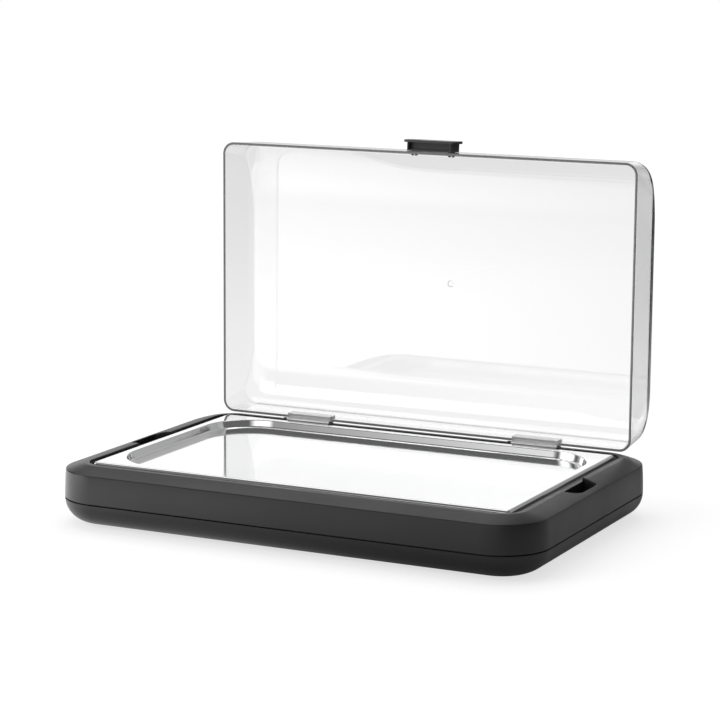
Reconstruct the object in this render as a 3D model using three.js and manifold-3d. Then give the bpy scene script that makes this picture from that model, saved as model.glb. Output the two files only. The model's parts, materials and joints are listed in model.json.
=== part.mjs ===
// A chilled serving display: a steel tray in a hollow two-part base, under a hinged clear cover.
//
// Millimetres, +Z up, X along the long side, the hinge at the back (+Y). The floor is z = 0.
// Inside this file every piece is drawn about the middle of the tray; the exported group then
// moves the whole object so that its box, cover open, is centred on the origin.
// The cover is drawn closed, about its hinge axis, and its group turns it open.

import * as THREE from 'three';
import { mergeVertices } from 'three/addons/utils/BufferGeometryUtils.js';
import Module from 'manifold-3d';

const wasm = await Module();
wasm.setup();

// ---------------------------------------------------------------- driving dimensions

const GAP = 0.3; // between pieces that touch

// the steel tray
const TRAY_LENGTH = 530;
const TRAY_WIDTH = 325;
const TRAY_DEPTH = 16;
const TRAY_SHEET = 0.8;
const TRAY_CORNER = 4;
const TRAY_RIM_DROP = 4.5; // height of the turned-down edge
const FLANGE_WIDTH = 12.5;
const FLANGE_BEND = 1.8;
const WELL_CORNER = 62;
const WELL_DRAFT = 1.5; // how far the well's wall leans in
const WELL_BOTTOM_RADIUS = 5;
const EDGE_BEND = 3.8; // radius on which the edge turns down
const EDGE_STEPS = 3;

// the base: ring-shaped plan offsets, from the tray outwards
const CHANNEL = 9; // open channel round the tray
const LANDING = 6; // flat strip that the closed cover lands on
const SHOULDER = 23.5; // sloping top
const WALL_DRAFT = 1.5;
const BASE_CORNER = 60;
const OPENING_CORNER = 24;
const WALL = 3;

// the base: heights
const EDGE_EASE = 0.9; // rounding where the wall breaks into the shoulder
const WALL_CROWN = { run: 0.1, fall: 0.35 }; // bulge of the wall, as shares of its draft and height
const LIP_EASE = 0.5; // rounding of the opening's upper edge
const FOOT_REACH = 2.8;
const LOWER_HEIGHT = 29.2; // from the flat bottom to the seam
const UPPER_WALL = 34; // from the seam to the break of the shoulder
const SHOULDER_RISE = 7;
const CROWN_RUN = 0.4; // the shoulder's upper part, as a share of its width...
const CROWN_RISE = 0.3; // ...and of its rise: less steep than the rest, so it swells a little
const TRAY_PROUD = 1; // how far the tray's flange stands above the landing strip
const BOTTOM_ROUNDING = 33;
const SEAM_GROOVE = 1.2;
const LIP_HEIGHT = 7;
const LIP_WALL = 2;
const LEDGE_WIDTH = 18;
const LEDGE_CORNER = 45;

// grip notches, one at each end of the base
const NOTCH_LENGTH = 74.5;
const NOTCH_SHIFT = -4.75; // its middle, along Y
const NOTCH_REACH = 20.5; // outwards from the opening
const NOTCH_SHELF = 1; // the channel's floor runs on this far before the notch drops
const NOTCH_DEPTH = 21;
const NOTCH_WALL = 2.4;
const NOTCH_SLANT = { run: 15, along: 22 }; // the slanted front end
const NOTCH_REAR_DRAW = 5.5; // how far the rear end comes forward as it runs outwards
const NOTCH_CORNER = 5;

// the clear cover, measured closed
const COVER_HEIGHT = 73.9;
const COVER_WALL = 2.5;
const RIM_WALL = 3;
const RIM_DEPTH = 3.5;
const COVER_OVER_END = 5; // rim's outer face outside the opening, at each end
const COVER_OVER_SIDE = 2.5; // the same, at the front and the back
const COVER_CORNER = 15;
const COVER_CORNER_GROWTH = 0.167; // per millimetre of height
const END_DRAFT = 0.021;
const FRONT_DRAFT = 0.055;
const REAR_DRAFT = 0.014;
const END_ARCH = { run: 2, rise: 15.8 };
const FRONT_ARCH = { run: 77.8, rise: 23.2 };
const REAR_ARCH = { run: 53.9, rise: 25.2 };
const GATE = { x: 8, forward: 2.5, radius: 4.2, depth: 0.5 }; // the moulding gate's dimple in the panel

// the hinge
const HINGE_DROP = 1.25; // axis below the closed rim
const HINGE_SPACING = 310; // between the middles of the two knuckles
const KNUCKLE_LENGTH = 60;
const KNUCKLE_RADIUS = 2.4;
const KNUCKLE_TO_RIM = 0.05; // the knuckle's round starts just behind the rim
const PIN_RADIUS = 1;
const PIN_CLEARANCE = 0.15;
const KNUCKLE_SIDE_GAP = 0.6;
const EAR_LENGTH = 4;
const EAR_RELIEF = 0.2; // how much slimmer the ears are than the knuckle
const BORE_END = 1; // solid end behind the pin
const HEEL_REACH = 17; // the thick pad that stops the open cover
const POCKET_CLEARANCE = 0.6;

// the handle
const HANDLE_LENGTH = 59;
const HANDLE_DEPTH = 26; // along the cover's wall
const HANDLE_HEIGHT = 12.5; // out of the wall, without its flange
const HANDLE_WALL = 1.6;
const HANDLE_POCKET = 7; // depth of the hollow on the rim's side; the rest is cored from behind
const HANDLE_MIDDLE = 31.5; // height of its middle above the closed rim
const GRIP_LENGTH = 72;
const GRIP_DEPTH = 28;
const GRIP_THICKNESS = 2.6;
const HOOK_SPACING = 50;
const HOOK_WIDTH = 8.4;
const HOOK_SLIT = 2.2;
const HOOK_THICKNESS = 3;
const HOOK_BARB = 0.9;
const HOOK_REACH = 3.6; // past the inside of the cover's wall

// cold packs
const PACK_HEADROOM = 3; // under the tray's floor
const PACK_CORNER = 20;
const PACK_MARGIN = 8; // to the edge of the ledge
const PACK_SPACE = 5; // between the two packs
const PACK_GROOVE = 3; // radius of the grooves along its top
const PARTING = 1.2; // the moulding's parting line stands out this far
const PLUG_RADIUS = 13;
const NECK_SHRINK = 3; // the filler neck is this much slimmer than its cap, the recess this much wider
const NECK_DROP = 6; // from the pack's top to the neck's top
const CAP_RISE = 3.2;
const COIN_SLOT = { half: 8, width: 2, depth: 1.2 };
const RIB_HEIGHT = 12;
const RIB_THICKNESS = 2;

// feet and screws
const FOOT_RADIUS = 11;
const FOOT_INSET = 70; // from the base's outer edge
const FOOT_RECESS = 1.2;
const STEM_RADIUS = 3.5;
const STEM_BARB = { out: 1, height: 3 }; // the head that snaps in behind the shell's floor
const SCREW_INSET = 36;
const SCREW_ALONG = 85; // of the four screws on the long sides
const SCREW_RADIUS = 1.6;
const SCREW_HEAD_RADIUS = 3.3;
const SCREW_HEAD = 2.2;
const BOSS_RADIUS = 4;
const POST_RADIUS = 5.6;
const BOSS_BOTTOM = 40; // height of the joint between a boss and its post
const PILOT_TOP = 8; // solid left over a boss's pilot hole
const SCREW_SHORT = 2; // the screw's tip stops short of the hole's end
const SCREW_POINT = 2;
const RECESS_DEPTH = 1;
const RECESS_HALF = 0.4; // half the width of one arm of the cross

// facets
const CORNER_STEPS = 7;
const ROUND_STEPS = 14;
const ARCH_STEPS = 7;
const WALL_STEPS = 3; // up the base's wall
const SLOPE_STEPS = 5; // across its shoulder
const UNDER_STEPS = 6; // round its lower edge, outside
const UNDER_STEPS_INSIDE = 4;

// ---------------------------------------------------------------- derived places

const BASE_LENGTH = TRAY_LENGTH + 2 * (CHANNEL + LANDING + SHOULDER + WALL_DRAFT);
const BASE_WIDTH = TRAY_WIDTH + 2 * (CHANNEL + LANDING + SHOULDER + WALL_DRAFT);
const LANDING_INSET = WALL_DRAFT + SHOULDER; // insets are from the base's outline at the seam
const OPENING_INSET = LANDING_INSET + LANDING;
const LEDGE_INSET = OPENING_INSET + LEDGE_WIDTH;
const OPENING_X = BASE_LENGTH / 2 - OPENING_INSET;
const OPENING_Y = BASE_WIDTH / 2 - OPENING_INSET;

const FLOOR_Z = FOOT_REACH;
const SEAM_Z = FLOOR_Z + LOWER_HEIGHT;
const BREAK_Z = SEAM_Z + UPPER_WALL;
const LANDING_Z = BREAK_Z + SHOULDER_RISE;
const FLANGE_Z = LANDING_Z + TRAY_PROUD;
const LEDGE_Z = FLANGE_Z - TRAY_RIM_DROP - GAP;

const COVER_LENGTH = 2 * (OPENING_X + COVER_OVER_END);
const COVER_WIDTH = 2 * (OPENING_Y + COVER_OVER_SIDE);
const HINGE_SETBACK = KNUCKLE_RADIUS + KNUCKLE_TO_RIM; // axis behind the closed rim's outer face
const HINGE_Y = COVER_WIDTH / 2 + HINGE_SETBACK;
const HINGE_Z = LANDING_Z + GAP - HINGE_DROP;

const PACK_Z = FLOOR_Z + WALL + RIB_HEIGHT + GAP;
const PACK_THICKNESS = FLANGE_Z - TRAY_DEPTH - TRAY_SHEET - PACK_HEADROOM - PACK_Z;
const LEDGE_HALF_X = BASE_LENGTH / 2 - LEDGE_INSET;
const LEDGE_HALF_Y = BASE_WIDTH / 2 - LEDGE_INSET;
const PACK_LENGTH = LEDGE_HALF_X - PACK_MARGIN - PACK_SPACE / 2;
const PACK_WIDTH = 2 * (LEDGE_HALF_Y - PACK_MARGIN);
const PACK_X = (PACK_SPACE + PACK_LENGTH) / 2;

// ---------------------------------------------------------------- shapes

// A rounded rectangle at one height, counter-clockwise from above.
function ring(halfX, halfY, radius, z, middleY = 0) {
  const points = [];
  const corners = [[1, -1], [1, 1], [-1, 1], [-1, -1]];
  corners.forEach(([sideX, sideY], quarter) => {
    const start = ((quarter - 1) * Math.PI) / 2;
    const x = sideX * (halfX - radius);
    const y = middleY + sideY * (halfY - radius);
    const arc = new THREE.EllipseCurve(x, y, radius, radius, start, start + Math.PI / 2);
    arc.getPoints(CORNER_STEPS).forEach((p) => points.push(new THREE.Vector3(p.x, p.y, z)));
  });
  return points;
}

// A skin through rings of equal count: a closed loop of rings, or one capped at both ends.
function loft(rings, isLoop) {
  const count = rings[0].length;
  const positions = rings.flat().flatMap((p) => [p.x, p.y, p.z]);
  const index = [];
  const bands = isLoop ? rings.length : rings.length - 1;
  for (let band = 0; band < bands; band++) {
    const low = band * count;
    const high = ((band + 1) % rings.length) * count;
    for (let i = 0; i < count; i++) {
      const next = (i + 1) % count;
      index.push(low + i, low + next, high + next);
      index.push(low + i, high + next, high + i);
    }
  }
  if (!isLoop) {
    const last = (rings.length - 1) * count;
    for (let i = 1; i < count - 1; i++) {
      index.push(0, i + 1, i);
      index.push(last, last + i, last + i + 1);
    }
  }
  const geometry = new THREE.BufferGeometry();
  geometry.setAttribute('position', new THREE.Float32BufferAttribute(positions, 3));
  geometry.setIndex(index);
  return geometry;
}

// A closed geometry as a solid for joining and cutting.
function solid(geometry, matrix = new THREE.Matrix4()) {
  const bare = geometry.clone().applyMatrix4(matrix);
  bare.deleteAttribute('normal');
  bare.deleteAttribute('uv');
  const merged = mergeVertices(bare, 1e-4);
  return new wasm.Manifold(new wasm.Mesh({
    numProp: 3,
    vertProperties: merged.getAttribute('position').array,
    triVerts: new Uint32Array(merged.index.array),
  }));
}

function geometryOf(body) {
  const { vertProperties, triVerts } = body.getMesh();
  const geometry = new THREE.BufferGeometry();
  geometry.setAttribute('position', new THREE.BufferAttribute(vertProperties, 3));
  geometry.setIndex(new THREE.BufferAttribute(triVerts, 1));
  geometry.computeVertexNormals();
  return geometry;
}

const place = (x, y, z) => new THREE.Matrix4().makeTranslation(x, y, z);

// A box given by its lowest and highest corners.
function block(low, high) {
  const size = high.map((value, i) => value - low[i]);
  const middle = high.map((value, i) => (value + low[i]) / 2);
  return solid(new THREE.BoxGeometry(...size), place(...middle));
}

// A round bar along Z or along X.
function barZ(radius, x, y, low, high) {
  const bar = new THREE.CylinderGeometry(radius, radius, high - low, ROUND_STEPS);
  bar.rotateX(Math.PI / 2);
  return solid(bar, place(x, y, (low + high) / 2));
}

function barX(radius, low, high, y, z) {
  const bar = new THREE.CylinderGeometry(radius, radius, high - low, ROUND_STEPS);
  bar.rotateZ(Math.PI / 2);
  return solid(bar, place((low + high) / 2, y, z));
}

// A flat outline in Y and Z, drawn out along X about x = 0.
function extrudeX(outline, length) {
  const shape = new THREE.Shape(outline.map(([y, z]) => new THREE.Vector2(y, z)));
  const bar = new THREE.ExtrudeGeometry(shape, { depth: length, bevelEnabled: false });
  const turn = new THREE.Matrix4().makeBasis(
    new THREE.Vector3(0, 1, 0), new THREE.Vector3(0, 0, 1), new THREE.Vector3(1, 0, 0));
  bar.applyMatrix4(turn);
  return solid(bar, place(-length / 2, 0, 0));
}

// A flat outline in X and Y, raised from one height to another.
function extrudeZ(shape, low, high) {
  const slab = new THREE.ExtrudeGeometry(shape, {
    depth: high - low, bevelEnabled: false, curveSegments: CORNER_STEPS,
  });
  return solid(slab, place(0, 0, low));
}

// A body turned on the Z axis from a half outline of radii and heights.
function turned(outline, x, y, z) {
  const points = outline.map(([radius, height]) => new THREE.Vector2(radius, height));
  const body = new THREE.LatheGeometry(points, ROUND_STEPS);
  body.rotateX(Math.PI / 2);
  return solid(body, place(x, y, z));
}

const join = (bodies) => bodies.reduce((sum, body) => sum.add(body));

// ---------------------------------------------------------------- the base's shells

const shellCorner = (inset) =>
  BASE_CORNER + ((OPENING_CORNER - BASE_CORNER) * inset) / OPENING_INSET;

function shellRing(inset, z, radius = shellCorner(inset)) {
  return ring(BASE_LENGTH / 2 - inset, BASE_WIDTH / 2 - inset, radius, z);
}

// Outer skin of the upper shell, from the seam to the landing strip, as [inset, height] pairs.
// The wall is faintly crowned, its top edge is eased and the shoulder swells a little.
function upperSkin() {
  const slopeStart = EDGE_EASE * (SHOULDER_RISE / SHOULDER);
  const wall = new THREE.QuadraticBezierCurve(
    new THREE.Vector2(0, SEAM_Z + SEAM_GROOVE / 2),
    new THREE.Vector2(WALL_DRAFT * WALL_CROWN.run, BREAK_Z - UPPER_WALL * WALL_CROWN.fall),
    new THREE.Vector2(WALL_DRAFT, BREAK_Z - EDGE_EASE));
  const slope = new THREE.QuadraticBezierCurve(
    new THREE.Vector2(WALL_DRAFT + EDGE_EASE, BREAK_Z + slopeStart),
    new THREE.Vector2(LANDING_INSET - SHOULDER * CROWN_RUN, LANDING_Z - SHOULDER_RISE * CROWN_RISE),
    new THREE.Vector2(LANDING_INSET, LANDING_Z));
  const points = [...wall.getPoints(WALL_STEPS), ...slope.getPoints(SLOPE_STEPS)];
  return points.map((p) => [p.x, p.y]);
}

function upperShell() {
  const outside = upperSkin();
  const inside = [
    [LANDING_INSET, LANDING_Z - WALL],
    [WALL_DRAFT + SHOULDER / 2, LANDING_Z - SHOULDER_RISE / 2 - WALL],
    [WALL_DRAFT + WALL, BREAK_Z - WALL],
    [WALL, SEAM_Z + LIP_HEIGHT + 1],
    [WALL, SEAM_Z + SEAM_GROOVE / 2],
  ];
  const rings = [
    ...outside.map(([inset, z]) => shellRing(inset, z)),
    shellRing(OPENING_INSET - LIP_EASE, LANDING_Z),
    shellRing(OPENING_INSET, LANDING_Z - LIP_EASE),
    shellRing(OPENING_INSET, LEDGE_Z),
    shellRing(LEDGE_INSET, LEDGE_Z, LEDGE_CORNER),
    shellRing(LEDGE_INSET, LEDGE_Z - WALL, LEDGE_CORNER),
    shellRing(OPENING_INSET - WALL, LEDGE_Z - WALL),
    shellRing(OPENING_INSET - WALL, LANDING_Z - WALL),
    ...inside.map(([inset, z]) => shellRing(inset, z)),
  ];
  let shell = solid(loft(rings, true));

  // everything under the outer skin, less the space over the ledge: it trims what is added inside
  const filled = [...outside.map(([inset, z]) => shellRing(inset, z)), shellRing(OPENING_INSET, LANDING_Z)];
  const overLedge = loft([shellRing(OPENING_INSET, LEDGE_Z), shellRing(OPENING_INSET, LANDING_Z + 1)], false);
  const envelope = solid(loft(filled, false)).subtract(solid(overLedge));

  for (const side of [-1, 1]) {
    const bottom = LANDING_Z - NOTCH_DEPTH;
    const inner = OPENING_X + NOTCH_SHELF;
    const tub = extrudeZ(notchOutline(side, inner, NOTCH_WALL), bottom - NOTCH_WALL, LANDING_Z);
    const shelf = extrudeZ(notchOutline(side, OPENING_X - 1, 0), LEDGE_Z, LANDING_Z + 1);
    const hollow = extrudeZ(notchOutline(side, inner, 0), bottom, LANDING_Z + 1);
    shell = shell.add(tub.intersect(envelope)).subtract(shelf).subtract(hollow);
  }

  for (const side of [-1, 1]) shell = hingePocket(shell, envelope, side * (HINGE_SPACING / 2));

  for (const [x, y] of screwPlaces()) {
    const boss = barZ(BOSS_RADIUS, x, y, BOSS_BOTTOM + GAP, LEDGE_Z - WALL + 1);
    const pilot = barZ(SCREW_RADIUS + PIN_CLEARANCE, x, y, BOSS_BOTTOM - 1, LEDGE_Z - WALL - PILOT_TOP);
    shell = shell.add(boss).subtract(pilot);
  }
  return shell;
}

// A grip notch in plan, from an inner side outwards: slanted at the front, nearly square at the
// rear. The margin is the thickness of the wall round it.
function notchOutline(side, innerSide, margin) {
  const inner = innerSide - margin;
  const outer = OPENING_X + NOTCH_REACH + margin;
  const front = NOTCH_SHIFT - NOTCH_LENGTH / 2 - margin;
  const rear = NOTCH_SHIFT + NOTCH_LENGTH / 2 + margin;
  const turn = outer - NOTCH_SLANT.run * 0.2;
  const frontTurn = front + NOTCH_SLANT.along / 4;
  const shape = new THREE.Shape();
  shape.moveTo(side * inner, front);
  shape.lineTo(side * (outer - NOTCH_SLANT.run), front);
  shape.quadraticCurveTo(side * turn, frontTurn, side * outer, front + NOTCH_SLANT.along);
  shape.lineTo(side * outer, rear - NOTCH_REAR_DRAW - NOTCH_CORNER);
  shape.quadraticCurveTo(
    side * outer, rear - NOTCH_REAR_DRAW, side * (outer - NOTCH_CORNER), rear - NOTCH_REAR_DRAW);
  shape.lineTo(side * inner, rear);
  shape.closePath();
  return shape;
}

// One hinge's seat: solid ground under the knuckle, a pocket that opens into the channel, and two
// ears that hold the pin.
function hingePocket(shell, envelope, x) {
  const half = KNUCKLE_LENGTH / 2 + KNUCKLE_SIDE_GAP;
  const tip = half + EAR_LENGTH;
  const boreEnd = tip - BORE_END;
  const rear = HINGE_Y + KNUCKLE_RADIUS + POCKET_CLEARANCE;
  const floor = HINGE_Z - KNUCKLE_RADIUS - POCKET_CLEARANCE;
  const ground = block([x - tip, OPENING_Y - WALL, floor - WALL], [x + tip, rear + WALL, LANDING_Z]);
  const pocket = block([x - half, OPENING_Y - WALL, floor], [x + half, rear, LANDING_Z + 1]);
  const bore = barX(PIN_RADIUS + PIN_CLEARANCE, x - boreEnd, x + boreEnd, HINGE_Y, HINGE_Z);
  const earRadius = KNUCKLE_RADIUS - EAR_RELIEF;
  const ears = barX(earRadius, x - tip, x - half, HINGE_Y, HINGE_Z)
    .add(barX(earRadius, x + half, x + tip, HINGE_Y, HINGE_Z));
  return shell.add(ground.intersect(envelope)).subtract(pocket).add(ears).subtract(bore);
}

// Eight screws: one near each corner and two on each long side.
function screwPlaces() {
  const alongX = BASE_LENGTH / 2 - SCREW_INSET;
  const alongY = BASE_WIDTH / 2 - SCREW_INSET;
  const cornerCut = shellCorner(SCREW_INSET) * (1 - Math.SQRT1_2);
  const places = [];
  for (const sideY of [-1, 1]) {
    for (const sideX of [-1, 1]) {
      places.push([sideX * (alongX - cornerCut), sideY * (alongY - cornerCut)]);
      places.push([sideX * SCREW_ALONG, sideY * alongY]);
    }
  }
  return places;
}

function footPlaces() {
  const x = BASE_LENGTH / 2 - FOOT_INSET;
  const y = BASE_WIDTH / 2 - FOOT_INSET;
  return [[-x, -y], [x, -y], [-x, y], [x, y]];
}

function lowerShell() {
  const rounding = (wall, steps) => {
    const arc = new THREE.EllipseCurve(0, 0, BOTTOM_ROUNDING - wall, LOWER_HEIGHT - wall, -Math.PI / 2, 0);
    return arc.getPoints(steps).map((p) => [BOTTOM_ROUNDING - p.x, SEAM_Z + p.y]);
  };
  const edge = SEAM_Z - SEAM_GROOVE / 2;
  const outside = rounding(0, UNDER_STEPS);
  outside[outside.length - 1][1] = edge;
  const inside = rounding(WALL, UNDER_STEPS_INSIDE).reverse();
  inside[0][1] = edge - WALL;
  const lipOut = WALL + GAP;
  const lipIn = lipOut + LIP_WALL;
  const rings = [
    ...outside.map(([inset, z]) => shellRing(inset, z)),
    shellRing(lipOut, edge),
    shellRing(lipOut, edge + LIP_HEIGHT),
    shellRing(lipIn, edge + LIP_HEIGHT),
    shellRing(lipIn, edge - LIP_WALL),
    ...inside.slice(1).map(([inset, z]) => shellRing(inset, z)),
  ];
  let shell = solid(loft(rings, false));
  const inner = FLOOR_Z + WALL;

  shell = shell.add(join(packRibs(inner)));
  for (const [x, y] of screwPlaces()) {
    const headRoom = BOSS_BOTTOM - WALL - SCREW_HEAD;
    shell = shell.add(barZ(POST_RADIUS, x, y, FLOOR_Z + 1, BOSS_BOTTOM));
    shell = shell.subtract(barZ(SCREW_HEAD_RADIUS + GAP, x, y, FLOOR_Z - 1, headRoom + SCREW_HEAD));
    shell = shell.subtract(barZ(SCREW_RADIUS + GAP, x, y, FLOOR_Z, BOSS_BOTTOM + 1));
  }
  for (const [x, y] of footPlaces()) {
    shell = shell.subtract(barZ(FOOT_RADIUS + GAP, x, y, FLOOR_Z - 1, FLOOR_Z + FOOT_RECESS));
    shell = shell.subtract(barZ(STEM_RADIUS + GAP, x, y, FLOOR_Z, inner + 1));
  }
  return shell;
}

// Ribs that carry the cold packs clear of the floor, with a divider between the two packs.
function packRibs(bottom) {
  const top = bottom + RIB_HEIGHT;
  const half = RIB_THICKNESS / 2;
  const endX = PACK_SPACE / 2 + PACK_LENGTH;
  const endY = PACK_WIDTH / 2;
  const ribs = [];
  for (const share of [-0.6, -0.2, 0.2, 0.6]) {
    const y = share * endY;
    ribs.push(block([-endX, y - half, bottom - 1], [endX, y + half, top]));
  }
  for (const share of [-0.75, -0.25, 0.25, 0.75]) {
    const x = share * endX;
    ribs.push(block([x - half, -endY, bottom - 1], [x + half, endY, top - RIB_THICKNESS]));
  }
  ribs.push(block([-half, -endY / 2, bottom - 1], [half, endY / 2, top + PACK_THICKNESS / 3]));
  return ribs;
}

// ---------------------------------------------------------------- the tray

// One pressed sheet: turned-down edge, flat flange, well with rounded corners and a flat floor.
function tray() {
  const skin = (depth) => {
    const bend = FLANGE_BEND + depth;
    const foot = WELL_BOTTOM_RADIUS - depth;
    const wallTop = FLANGE_WIDTH - depth;
    const wallBottom = wallTop + WELL_DRAFT;
    const floor = wallBottom + foot * 0.85;
    const wallCorner = WELL_CORNER - WELL_DRAFT;
    const edge = [];
    for (let i = 0; i <= EDGE_STEPS; i += 1) {
      const angle = (i / EDGE_STEPS) * (Math.PI / 2);
      const inset = EDGE_BEND - (EDGE_BEND - depth) * Math.cos(angle);
      edge.push([inset, -EDGE_BEND + (EDGE_BEND - depth) * Math.sin(angle), TRAY_CORNER - inset]);
    }
    return [
      [depth, -TRAY_RIM_DROP, TRAY_CORNER - depth],
      ...edge,
      [wallTop - bend, -depth, WELL_CORNER + bend],
      [wallTop - bend * 0.3, -depth - bend * 0.3, WELL_CORNER],
      [wallTop, -depth - bend, WELL_CORNER],
      [wallBottom, -TRAY_DEPTH + WELL_BOTTOM_RADIUS - depth, wallCorner],
      [wallBottom + foot * 0.27, -TRAY_DEPTH + WELL_BOTTOM_RADIUS * 0.3 - depth, wallCorner - 1],
      [floor, -TRAY_DEPTH - depth, wallCorner - foot],
    ];
  };
  const toRing = ([inset, z, radius]) =>
    ring(TRAY_LENGTH / 2 - inset, TRAY_WIDTH / 2 - inset, radius, FLANGE_Z + z);
  const under = skin(TRAY_SHEET).reverse().map(toRing);
  const top = skin(0).map(toRing);
  return solid(loft([...under, ...top], false));
}

// ---------------------------------------------------------------- the cover

// How far a wall has moved in at a height above the rim: its draft, then its arch into the panel.
function lean(height, total, draft, arch) {
  const share = Math.max(0, (height - (total - arch.rise)) / arch.rise);
  return draft * height + arch.run * (1 - Math.sqrt(Math.max(0, 1 - share * share)));
}

// One ring of the cover about the hinge axis, at a height above the closed rim.
// margin is the wall's thickness there: 0 on the outer face.
function coverRing(height, margin) {
  const total = COVER_HEIGHT - (margin ? COVER_WALL : 0);
  const front = -COVER_WIDTH / 2 + margin + lean(height, total, FRONT_DRAFT, FRONT_ARCH);
  const rear = COVER_WIDTH / 2 - margin - lean(height, total, REAR_DRAFT, REAR_ARCH);
  const halfX = COVER_LENGTH / 2 - margin - lean(height, total, END_DRAFT, END_ARCH);
  const radius = COVER_CORNER + COVER_CORNER_GROWTH * height - margin;
  const middle = (front + rear) / 2 - HINGE_Y;
  return ring(halfX, (rear - front) / 2, radius, height + HINGE_DROP, middle);
}

// Heights of the rings: few on the straight wall, close together where the arches flatten out.
function coverHeights(total) {
  const straight = total - Math.max(FRONT_ARCH.rise, REAR_ARCH.rise);
  const heights = [RIM_DEPTH, straight / 2, straight];
  for (let step = 1; step <= ARCH_STEPS; step++) {
    heights.push(straight + (total - straight) * Math.sin((step / ARCH_STEPS) * (Math.PI / 2)));
  }
  return heights;
}

function cover() {
  const inside = coverHeights(COVER_HEIGHT - COVER_WALL).reverse();
  const rings = [
    ...inside.map((height) => coverRing(height, COVER_WALL)),
    coverRing(RIM_DEPTH * 0.7, RIM_WALL),
    coverRing(0, RIM_WALL),
    coverRing(0, 0),
    ...coverHeights(COVER_HEIGHT).map((height) => coverRing(height, 0)),
  ];
  let body = solid(loft(rings, false));

  for (const side of [-1, 1]) {
    const x = side * (HINGE_SPACING / 2);
    const tongue = extrudeX(tongueOutline(), KNUCKLE_LENGTH).translate([x, 0, 0]);
    const knuckle = barX(KNUCKLE_RADIUS, x - KNUCKLE_LENGTH / 2, x + KNUCKLE_LENGTH / 2, 0, 0);
    const bore = barX(PIN_RADIUS + PIN_CLEARANCE, x - KNUCKLE_LENGTH, x + KNUCKLE_LENGTH, 0, 0);
    body = body.add(tongue).add(knuckle).subtract(bore);
  }

  const panel = HINGE_DROP + COVER_HEIGHT;
  body = body.subtract(barZ(GATE.radius, GATE.x, -HINGE_Y - GATE.forward, panel - GATE.depth, panel + 1));

  const slotX = HOOK_WIDTH / 2 + GAP;
  const slotZ = HOOK_THICKNESS / 2 + GAP;
  for (const side of [-1, 1]) {
    const x = side * (HOOK_SPACING / 2);
    const slot = block([x - slotX, -2, -slotZ], [x + slotX, COVER_WALL + 2, slotZ]);
    body = body.subtract(slot.transform(handleFrame().toArray()));
  }
  return body;
}

// The tongue in section, closed, about the hinge axis: it joins the knuckle to the rear wall and
// runs up it as a pad. The pad's back is the heel that meets the shoulder when the cover is open.
function tongueOutline() {
  const sunk = 0.4; // into the wall, so that the two fuse
  const wallAt = (z) => -HINGE_SETBACK - REAR_DRAFT * (z - HINGE_DROP);
  const landingEdge = OPENING_Y + LANDING - HINGE_Y;
  const crestSlope = (SHOULDER_RISE * CROWN_RISE) / (SHOULDER * CROWN_RUN);
  const heelAt = (z) => -(LANDING_Z + GAP - HINGE_Z) + (z - landingEdge) * crestSlope;
  const top = HINGE_DROP + HEEL_REACH;
  const heelTop = HINGE_DROP + HEEL_REACH / 2;
  const shoulderAngle = 0.43; // where the knuckle's round runs into the heel
  return [
    [-KNUCKLE_RADIUS * 0.95, 0],
    [0, -sunk / 2],
    [-KNUCKLE_RADIUS * Math.sin(shoulderAngle), KNUCKLE_RADIUS * Math.cos(shoulderAngle)],
    [heelAt(KNUCKLE_RADIUS + POCKET_CLEARANCE + 1), KNUCKLE_RADIUS + POCKET_CLEARANCE + 1],
    [heelAt(heelTop), heelTop],
    [wallAt(top) + sunk, top],
    [wallAt(top) - sunk, top],
    [wallAt(HINGE_DROP) - sunk, HINGE_DROP],
  ];
}

// The handle's frame on the cover's front wall, about the hinge axis: +Z up the wall, -Y out of it.
function handleFrame() {
  const y = -HINGE_Y - COVER_WIDTH / 2 + FRONT_DRAFT * HANDLE_MIDDLE;
  const turn = new THREE.Matrix4().makeRotationX(-Math.atan(FRONT_DRAFT));
  return place(0, y, HINGE_DROP + HANDLE_MIDDLE).multiply(turn);
}

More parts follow.
